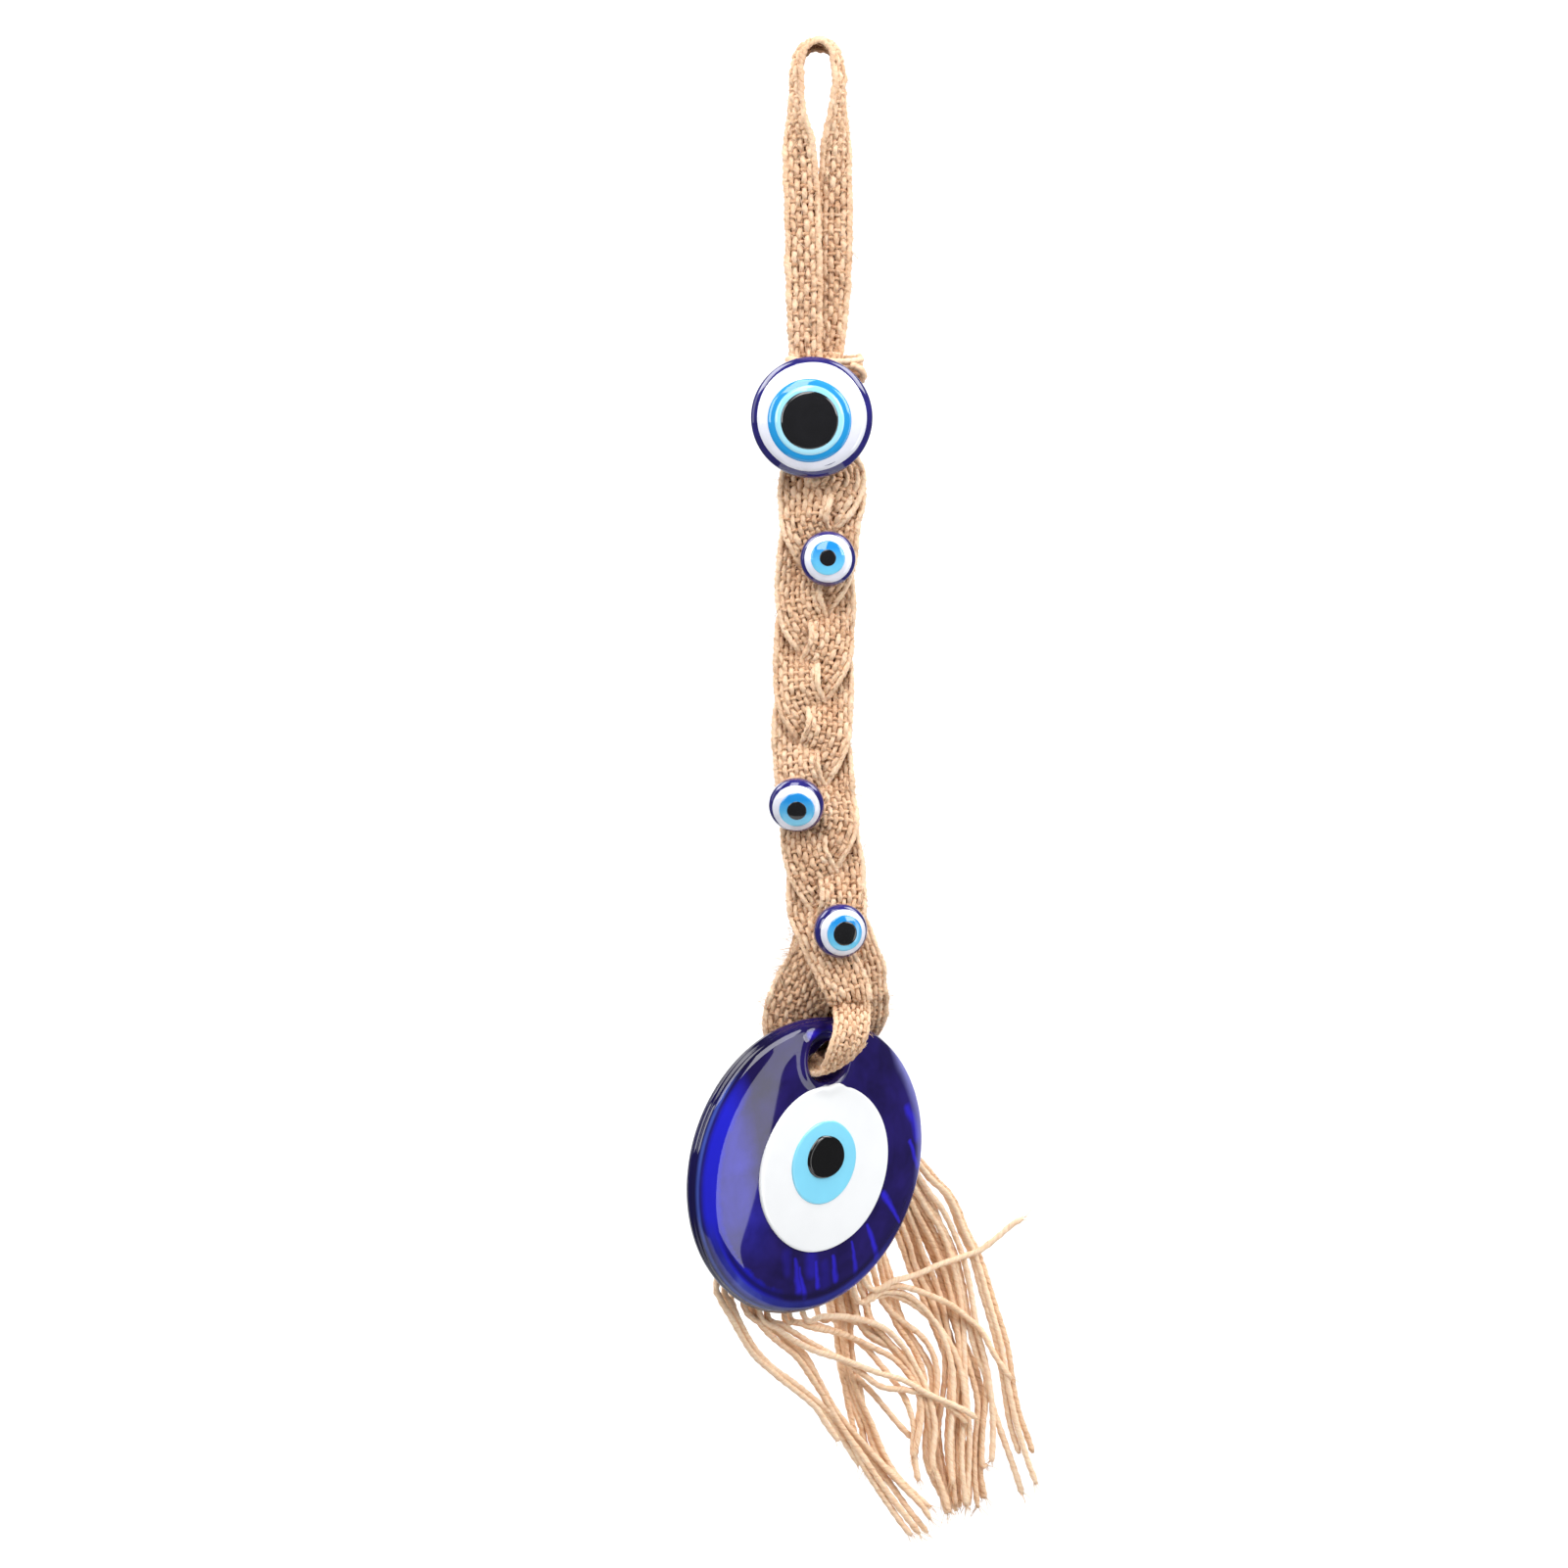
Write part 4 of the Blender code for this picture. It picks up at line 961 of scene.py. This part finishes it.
def ring(sv, z_of):
    c = (1 - sv) * HOLE_UP
    r = (1 - sv) * HOLE_R + sv * DISC_R
    x, y = r * np.cos(ang), c + r * np.sin(ang)
    z = z_of(x, y)
    g = 1 + (wave - 1) * (sv ** 4)
    return np.stack([x * g, y * g, z], -1)


for sv in S:
    rings.append(ring(sv, front_z))
bottom = ring(1.0, back_z)
for f in (0.06, 0.25, 0.5, 0.75, 0.94):     # the disc's side, slightly bulged
    q = rings[len(S) - 1] * (1 - f) + bottom * f
    q[:, :2] *= 1 + 0.010 * math.sin(math.pi * f)
    rings.append(q)
for sv in S[::-1]:
    rings.append(ring(sv, back_z))
top = rings[0]
for f in (0.94, 0.6, 0.3, 0.06):
    rings.append(top * (1 - f) + rings[-1] * f if f == 0.94 else top * (1 - f) + ring(0.0, back_z) * f)
V = np.array(rings)
rows, cols = V.shape[:2]
faces = []
for i in range(rows):
    i2 = (i + 1) % rows
    for j in range(cols):
        j2 = (j + 1) % cols
        faces.append((i * cols + j, i2 * cols + j, i2 * cols + j2, i * cols + j2))
me = bpy.data.meshes.new("cobalt_disc")
me.from_pydata([tuple(p * MM) for p in V.reshape(-1, 3)], [], faces)
me.update()
me.polygons.foreach_set("use_smooth", np.ones(len(me.polygons), bool))
me.materials.append(COBALT)
disc = bpy.data.objects.new("cobalt_disc", me)
scene.collection.objects.link(disc)
disc.matrix_world = disc_m
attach(disc, "disc")
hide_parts("glass_disc")

# the hole narrows towards the back on its upper left, where the dark wall shows beside the tape
lip_v, lip_f = [], []
LIP_A, LIP_F = 60, (0.0, 0.12, 0.3, 0.5, 0.7, 0.86, 1.0)
for i in range(LIP_A + 1):
    a = math.radians(60.0 + 150.0 * i / LIP_A)
    w = max(0.0, math.sin(math.pi * i / LIP_A)) ** 0.3
    for f in LIP_F:
        r = HOLE_R + 0.05 - (0.2 + 3.5 * w) * f ** 0.8
        lip_v.append((r * math.cos(a) * MM, (HOLE_UP + r * math.sin(a)) * MM, (1.7 - 1.6 * f) * MM))
n = len(LIP_F)
for i in range(LIP_A):
    for j in range(n - 1):
        lip_f.append((i * n + j, i * n + j + 1, (i + 1) * n + j + 1, (i + 1) * n + j))
me = bpy.data.meshes.new("hole_wall")
me.from_pydata(lip_v, [], lip_f)
me.update()
me.polygons.foreach_set("use_smooth", np.ones(len(me.polygons), bool))
me.materials.append(COBALT)
lip = bpy.data.objects.new("hole_wall", me)
scene.collection.objects.link(lip)
lip.matrix_world = disc_m
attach(lip, "disc")


def drop(name, centre, radius, height, base_z, mat, cad, seed, shape=None):
    """A drop of glass fused on the disc, with an uneven outline and a rounded edge."""
    n, seg = 26, 120
    angs = np.linspace(0, 2 * math.pi, seg, endpoint=False)
    out = np.array([radius * (1 + 0.018 * noise.noise(Vector((math.cos(a) * 1.3, math.sin(a) * 1.3, seed)))) + (shape(a) if shape else 0.0) for a in angs])
    V = np.zeros((n + 2, seg, 3))
    for i in range(n + 1):
        f = math.sin(math.pi / 2 * (i + 0.02) / (n + 0.02))
        x, y = centre[0] + out * f * np.cos(angs), centre[1] + out * f * np.sin(angs)
        d = out * (1 - f)
        rho = height
        z = base_z(x, y) + height - fillet(d, rho)
        V[i] = np.stack([x, y, z], -1)
    V[n + 1] = V[n] * 1.0
    V[n + 1, :, 2] -= 0.7
    o = grid_mesh(name, V, mat, flip=False, caps=((0, False), (n + 1, True)))
    import bmesh

    bm = bmesh.new()
    bm.from_mesh(o.data)
    bmesh.ops.recalc_face_normals(bm, faces=bm.faces)
    bm.to_mesh(o.data)
    bm.free()
    o.matrix_world = disc_m
    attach(o, "disc")
    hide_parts(cad)
    return o


def white_tip(a):
    d = (a - math.radians(84) + math.pi) % (2 * math.pi) - math.pi
    return 0.35 * math.exp(-(d / 0.10) ** 2) - 0.25 * math.exp(-((d - 0.16) / 0.06) ** 2) - 0.2 * math.exp(-((d + 0.14) / 0.05) ** 2)


E = (-0.0, -1.0)
drop("white_drop", (1.2, 0.2), 17.1, 0.42, front_z, G_WHITE, "glass_eye_white", 1.5, white_tip)
drop("blue_drop", (0.4, 1.6), 8.5, 0.35, lambda x, y: front_z(x, y) + 0.30, G_BLUE, "glass_eye_blue", 2.5)
drop("pupil_drop", (0.45, 2.7), 4.6, 0.55, lambda x, y: front_z(x, y) + 0.55, G_BLACK, "glass_eye_pupil", 3.5,
     lambda a: 0.28 * math.cos(2 * a) + 0.06 * math.cos(3 * a + 1.0) + 0.3 * math.exp(-(((a - 2.0) / 0.35) ** 2)))

# ---- knot behind the disc --------------------------------------------------------------------------------------
acc = Yarns()
rng = random.Random(9)
KM = np.array([RIGHT, DISC_UP, DISC_N]).T
for q in range(16):
    tilt = rng.uniform(-0.5, 0.5) + (0.0 if q % 2 else math.pi / 2)
    lean = rng.uniform(-0.7, 0.7)
    ang2 = np.linspace(0, 2 * math.pi, 60)
    e1 = np.array([math.cos(tilt), math.sin(tilt), 0.0])
    e2 = unit(np.array([-math.sin(tilt) * math.sin(lean), math.cos(tilt) * math.sin(lean), math.cos(lean)]))
    pts = np.cos(ang2)[:, None] * e1 + np.sin(ang2)[:, None] * e2
    pts = unit(pts) * np.array([5.2, 3.8, 2.7])
    acc.add(KNOT + pts @ KM.T, 0.62, 6, rng.uniform(0.3, 0.9), lobe=0.12, pitch=3.0)
knot = acc.build("rear_knot_yarn", JUTE_WEAVE)
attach(knot, "disc")
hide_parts("rear_knot")

# ---- fringe ------------------------------------------------------------------------------------------------------
# Where each yarn comes out from behind the disc and how it falls, in quarter units of the strap's own grid:
# x from 700, y down from 1170.
LEFT_EDGE = [(-8.6, -205.2), (-15.5, -222.0), (-18.6, -243.0), (-11.5, -260.0), (4.0, -277.0), (19.5, -294.6)]
RIGHT_EDGE = [(0.4, -204.4), (12.5, -212.0), (22.0, -226.0), (29.0, -246.0), (33.5, -267.0), (40.5, -287.0)]


def plane_y(x, z, back):
    return DISC_C[1] + (-back - DISC_N[0] * (x - DISC_C[0]) - DISC_N[2] * (z - DISC_C[2])) / DISC_N[1]


def share(x, z):
    zl = np.array([p[1] for p in LEFT_EDGE])[::-1]
    xl = np.array([p[0] for p in LEFT_EDGE])[::-1]
    zr = np.array([p[1] for p in RIGHT_EDGE])[::-1]
    xr = np.array([p[0] for p in RIGHT_EDGE])[::-1]
    a, b = np.interp(z, zl, xl), np.interp(z, zr, xr)
    return min(max((x - a) / max(b - a, 1.0), 0.0), 1.0)


def depth(x, z, back):
    y = plane_y(x, z, back)
    reach = math.dist((x, y, z), KNOT)
    free = ease(reach, 50.0, 95.0)
    return y + (12.0 + 9.0 * share(x, z) + 1.0 * back + 0.14 * reach - y) * 0.85 * free


def grid_point(gx, gy, back):
    px, py = 700 + gx / 4, 1170 + gy / 4
    x0, z0 = (px - 835) * 0.195, (52 - py) * 0.195
    y = depth(x0, z0, back)
    for _ in range(2):
        p = seen(x0, z0, y)
        y = depth(p[0], p[2], back)
    return seen(x0, z0, y)


FRINGE = [
    # (how far behind, points)
    (3.9, [(130, 545), (140, 620), (185, 700), (235, 790), (290, 870), (370, 940), (455, 1000), (530, 1070), (575, 1140), (625, 1205)]),
    (4.6, [(160, 560), (178, 640), (222, 725), (275, 815), (335, 893), (420, 960), (505, 1025), (582, 1085), (640, 1150), (690, 1225), (740, 1320), (800, 1420), (860, 1505), (925, 1590)]),
    (5.4, [(192, 590), (200, 660), (240, 760), (300, 850), (375, 925), (470, 1000), (545, 1060), (600, 1130), (650, 1210), (700, 1290), (708, 1305)]),
    (4.3, [(235, 625), (300, 720), (380, 800), (450, 862), (510, 940), (560, 1015), (602, 1095), (655, 1175), (715, 1255), (775, 1345), (835, 1430), (900, 1510), (955, 1585)]),
    (5.1, [(262, 640), (340, 728), (415, 796), (490, 872), (552, 965), (605, 1065), (665, 1150), (742, 1235), (822, 1320), (900, 1400), (965, 1470), (995, 1520)]),
    (6.0, [(250, 632), (320, 700), (395, 775), (470, 850), (530, 940), (590, 1050), (640, 1140), (720, 1220), (800, 1300), (880, 1370), (950, 1430), (1005, 1475)]),
    (6.8, [(285, 655), (350, 740), (430, 800), (500, 880), (570, 1000), (630, 1110), (690, 1200), (760, 1290), (840, 1390), (910, 1480), (975, 1560), (990, 1580)]),
    (3.6, [(300, 660), (380, 742), (452, 800), (530, 838), (620, 862), (705, 892), (800, 930), (900, 962), (990, 1010), (1080, 1050), (1140, 1080), (1185, 1112)]),
    (4.5, [(330, 668), (400, 735), (480, 790), (560, 836), (640, 880), (720, 930), (800, 985), (900, 1000), (1000, 1022), (1070, 1060), (1120, 1100), (1150, 1130)]),
    (5.3, [(400, 680), (455, 718), (520, 745), (600, 762), (680, 790), (760, 828), (840, 868), (900, 925), (945, 1000), (960, 1090), (945, 1190), (925, 1280)]),
    (6.2, [(420, 684), (500, 720), (580, 745), (660, 775), (740, 830), (800, 900), (860, 975), (910, 1060), (935, 1150), (930, 1250), (950, 1370)]),
    (4.9, [(480, 685), (560, 698), (660, 705), (745, 722), (820, 755), (880, 812), (925, 880), (965, 960), (1000, 1050), (1020, 1150), (1010, 1260), (1015, 1330)]),
    (6.9, [(540, 680), (620, 700), (720, 735), (800, 790), (860, 850), (910, 910), (950, 1000), (985, 1100), (980, 1200), (990, 1300), (1030, 1400)]),
    (7.6, [(600, 670), (625, 720), (640, 800), (645, 880), (665, 960), (700, 1060), (745, 1160), (790, 1250), (830, 1320)]),
    (7.0, [(640, 655), (650, 740), (660, 840), (680, 930), (710, 1020), (760, 1130), (800, 1230), (850, 1320), (900, 1380)]),
    (7.9, [(665, 650), (672, 760), (682, 870), (705, 970), (722, 1080), (745, 1170), (778, 1270), (815, 1340)]),
    (8.4, [(620, 665), (618, 760), (625, 860), (640, 950), (662, 1050), (690, 1150), (712, 1250), (735, 1330)]),
    (8.8, [(655, 655), (655, 780), (665, 900), (690, 1000), (708, 1100), (725, 1200), (760, 1290), (810, 1370)]),
    (6.4, [(690, 645), (700, 700), (735, 760), (800, 800), (860, 830), (905, 880), (940, 950), (955, 1040), (950, 1130), (940, 1200)]),
    (5.7, [(735, 630), (750, 700), (800, 770), (860, 840), (915, 900), (960, 985), (990, 1080), (1000, 1180), (1005, 1290), (1045, 1400), (1075, 1500)]),
    (7.4, [(660, 900), (700, 950), (760, 1010), (820, 1080), (880, 1150), (925, 1195)]),
    (4.2, [(700, 622), (790, 590), (860, 573), (930, 586), (1000, 616), (1080, 655), (1150, 706), (1210, 760), (1258, 845), (1300, 910), (1332, 955)]),
    (5.0, [(720, 612), (800, 600), (890, 606), (960, 650), (1020, 720), (1060, 800), (1085, 900), (1090, 1000), (1085, 1120), (1080, 1240), (1090, 1380)]),
    (5.6, [(760, 590), (840, 610), (920, 640), (990, 690), (1050, 760), (1100, 850), (1130, 950), (1140, 1060), (1130, 1180), (1130, 1300), (1150, 1470)]),
    (3.8, [(740, 570), (860, 546), (950, 525), (1040, 490), (1120, 460), (1200, 425), (1270, 370), (1330, 322), (1378, 295)]),
    (6.6, [(790, 580), (830, 660), (890, 720), (950, 770), (1000, 840), (1025, 930), (1020, 1030), (1000, 1130), (985, 1230), (1000, 1330), (1050, 1440)]),
    (7.3, [(815, 560), (835, 650), (870, 740), (925, 820), (960, 900), (975, 990), (960, 1090), (945, 1190), (940, 1270)]),
    (8.2, [(830, 545), (850, 640), (890, 740), (950, 830), (1000, 920), (1010, 1030), (1010, 1150), (1030, 1280), (1060, 1400), (1085, 1480)]),
    (4.4, [(1000, 130), (1060, 190), (1100, 260), (1130, 340), (1170, 420), (1200, 500), (1230, 600), (1262, 700), (1290, 800), (1308, 900), (1326, 1020), (1352, 1140), (1392, 1260), (1438, 1378)]),
    (5.2, [(985, 180), (1030, 235), (1068, 295), (1100, 365), (1130, 450), (1152, 550), (1168, 640), (1185, 740), (1218, 850), (1245, 960), (1262, 1080), (1258, 1200), (1248, 1290)]),
    (6.1, [(985, 200), (1020, 260), (1050, 330), (1085, 420), (1115, 520), (1140, 640), (1160, 760), (1190, 860), (1230, 950), (1250, 1050), (1300, 1200), (1335, 1310), (1372, 1425)]),
    (5.9, [(970, 245), (1030, 330), (1070, 420), (1100, 520), (1122, 640), (1135, 760), (1143, 880), (1150, 1000), (1160, 1150), (1162, 1300), (1152, 1475)]),
    (6.7, [(950, 285), (1000, 380), (1042, 480), (1075, 590), (1100, 700), (1112, 820), (1112, 950), (1102, 1080), (1092, 1200), (1090, 1350), (1105, 1465)]),
    (7.5, [(930, 330), (965, 430), (1010, 535), (1050, 640), (1075, 750), (1084, 860), (1080, 1000), (1072, 1150), (1075, 1300), (1090, 1440)]),
    (8.3, [(905, 375), (935, 470), (975, 560), (1022, 660), (1052, 770), (1060, 880), (1050, 1000), (1032, 1120), (1022, 1240), (1035, 1350), (1070, 1505)]),
    (7.1, [(960, 265), (1010, 350), (1060, 450), (1090, 560), (1110, 680), (1130, 800), (1160, 920), (1190, 1050), (1185, 1200), (1180, 1350), (1195, 1480)]),
    (7.8, [(940, 305), (990, 400), (1035, 510), (1070, 620), (1105, 730), (1150, 830), (1190, 940), (1205, 1060), (1200, 1200), (1205, 1330), (1222, 1440)]),
    (8.7, [(920, 350), (950, 450), (990, 550), (1035, 650), (1075, 760), (1110, 880), (1135, 1000), (1140, 1120), (1120, 1250), (1110, 1380), (1125, 1475)]),
    (8.9, [(890, 420), (925, 510), (970, 610), (1010, 720), (1050, 820), (1090, 940), (1110, 1060), (1120, 1200), (1140, 1340), (1140, 1470)]),
    (6.3, [(975, 225), (1040, 320), (1095, 430), (1130, 560), (1160, 700), (1200, 800), (1225, 900), (1225, 1020), (1215, 1150), (1215, 1300), (1235, 1300)]),
]
EXTRA = 12
YARN_D = 1.25


def fringe_path(back, pts, seed):
    rng = random.Random(seed)
    gx0, gy0 = pts[0]
    back0 = back
    side = (gx0 - 560) / 440
    start = KNOT + RIGHT * (rng.uniform(-2.6, 2.6)) + DISC_UP * (-2.6 + rng.uniform(-0.6, 0.5)) - DISC_N * (rng.uniform(-1.6, 1.6))
    rows = [start]
    a = np.array([440 + rng.uniform(-20, 20), -350.0])
    b = np.array([gx0, gy0], float)
    d = b - a
    perp = np.array([d[1], -d[0]]) / max(np.linalg.norm(d), 1)
    bulge = 60 * side
    for f in (0.30, 0.62):
        q = a + d * f + perp * bulge * math.sin(math.pi * f) + np.array([rng.uniform(-12, 12), 0])
        rows.append(grid_point(q[0], q[1], back0 * (0.85 + 0.15 * f)))
    for gx, gy in pts:
        rows.append(grid_point(gx, gy, back))
    P = through(np.array(rows), 14 * len(rows))
    return even(P, 1.0)


def yarn_shape(P, seed, d):
    s = np.arange(len(P)) * 1.0
    wob = np.stack([wobble(s, seed, 13.0), wobble(s, seed + 31, 13.0), wobble(s, seed + 67, 13.0)], -1)
    keep = np.clip(s / 20.0, 0, 1)[:, None]
    P = P + wob * 0.30 * keep
    r = 0.5 * d * (1 + 0.09 * wobble(s, seed + 5, 7.0))
    return P, r


def ends(acc, P, seed, tone):
    """The loose fibres at a cut end."""
    rng = random.Random(seed)
    T = unit(P[-1] - P[-3])
    for _ in range(7):
        d = unit(T + np.array([rng.uniform(-0.5, 0.5) for _ in range(3)]))
        L = rng.uniform(1.0, 3.4)
        t = np.linspace(0, 1, 6)[:, None]
        off = np.array([rng.uniform(-0.35, 0.35) for _ in range(3)])
        bend = np.array([rng.uniform(-0.6, 0.6) for _ in range(3)])
        acc.add(P[-1] - T * 0.8 + off + d * L * t + bend * L * 0.4 * t ** 2, np.linspace(0.09, 0.04, 6), 3, tone + rng.uniform(-0.1, 0.3))


CAD_LOCKS = [f"fringe_lock_{k:02d}" for k in range(1, 11)]
stray = Yarns()
for i, (back, pts) in enumerate(FRINGE):
    P = fringe_path(back, pts, 100 + i)
    P, r = yarn_shape(P, 100 + i, YARN_D)
    rng = random.Random(300 + i)
    # yarns further back get a darker tone: painted shade
    tone = 0.80 + rng.uniform(-0.22, 0.24) - 0.045 * (back - 4.0)
    acc = Yarns()
    acc.add(P, r, 9, tone, lobe=0.13, pitch=5.2, taper=2)
    o = acc.build(f"fringe_yarn_{i + 1:02d}", JUTE_YARN)
    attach(o, "fringe")
    ends(stray, P, 500 + i, tone)
    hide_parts(CAD_LOCKS[i % 10])
# shorter and hidden yarns between them, darker as painted shade
rng = random.Random(77)
extra = Yarns()
for q in range(EXTRA):
    i = rng.randrange(12, len(FRINGE))
    back, pts = FRINGE[i]
    dx, dy = rng.uniform(-26, 26), rng.uniform(-10, 10)
    moved = [(x + dx * (0.4 + 0.6 * k / len(pts)), y + dy) for k, (x, y) in enumerate(pts[: max(4, len(pts) - rng.randrange(0, 3))])]
    P = fringe_path(back + rng.uniform(0.6, 1.6), moved, 700 + q)
    P, r = yarn_shape(P, 700 + q, YARN_D)
    extra.add(P, r, 8, 0.45 + rng.uniform(-0.2, 0.3), lobe=0.13, pitch=5.2, taper=2)
o = extra.build("fringe_inner_yarns", JUTE_YARN)
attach(o, "fringe")
o = stray.build("fringe_stray_fibres", JUTE_YARN)
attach(o, "fringe")
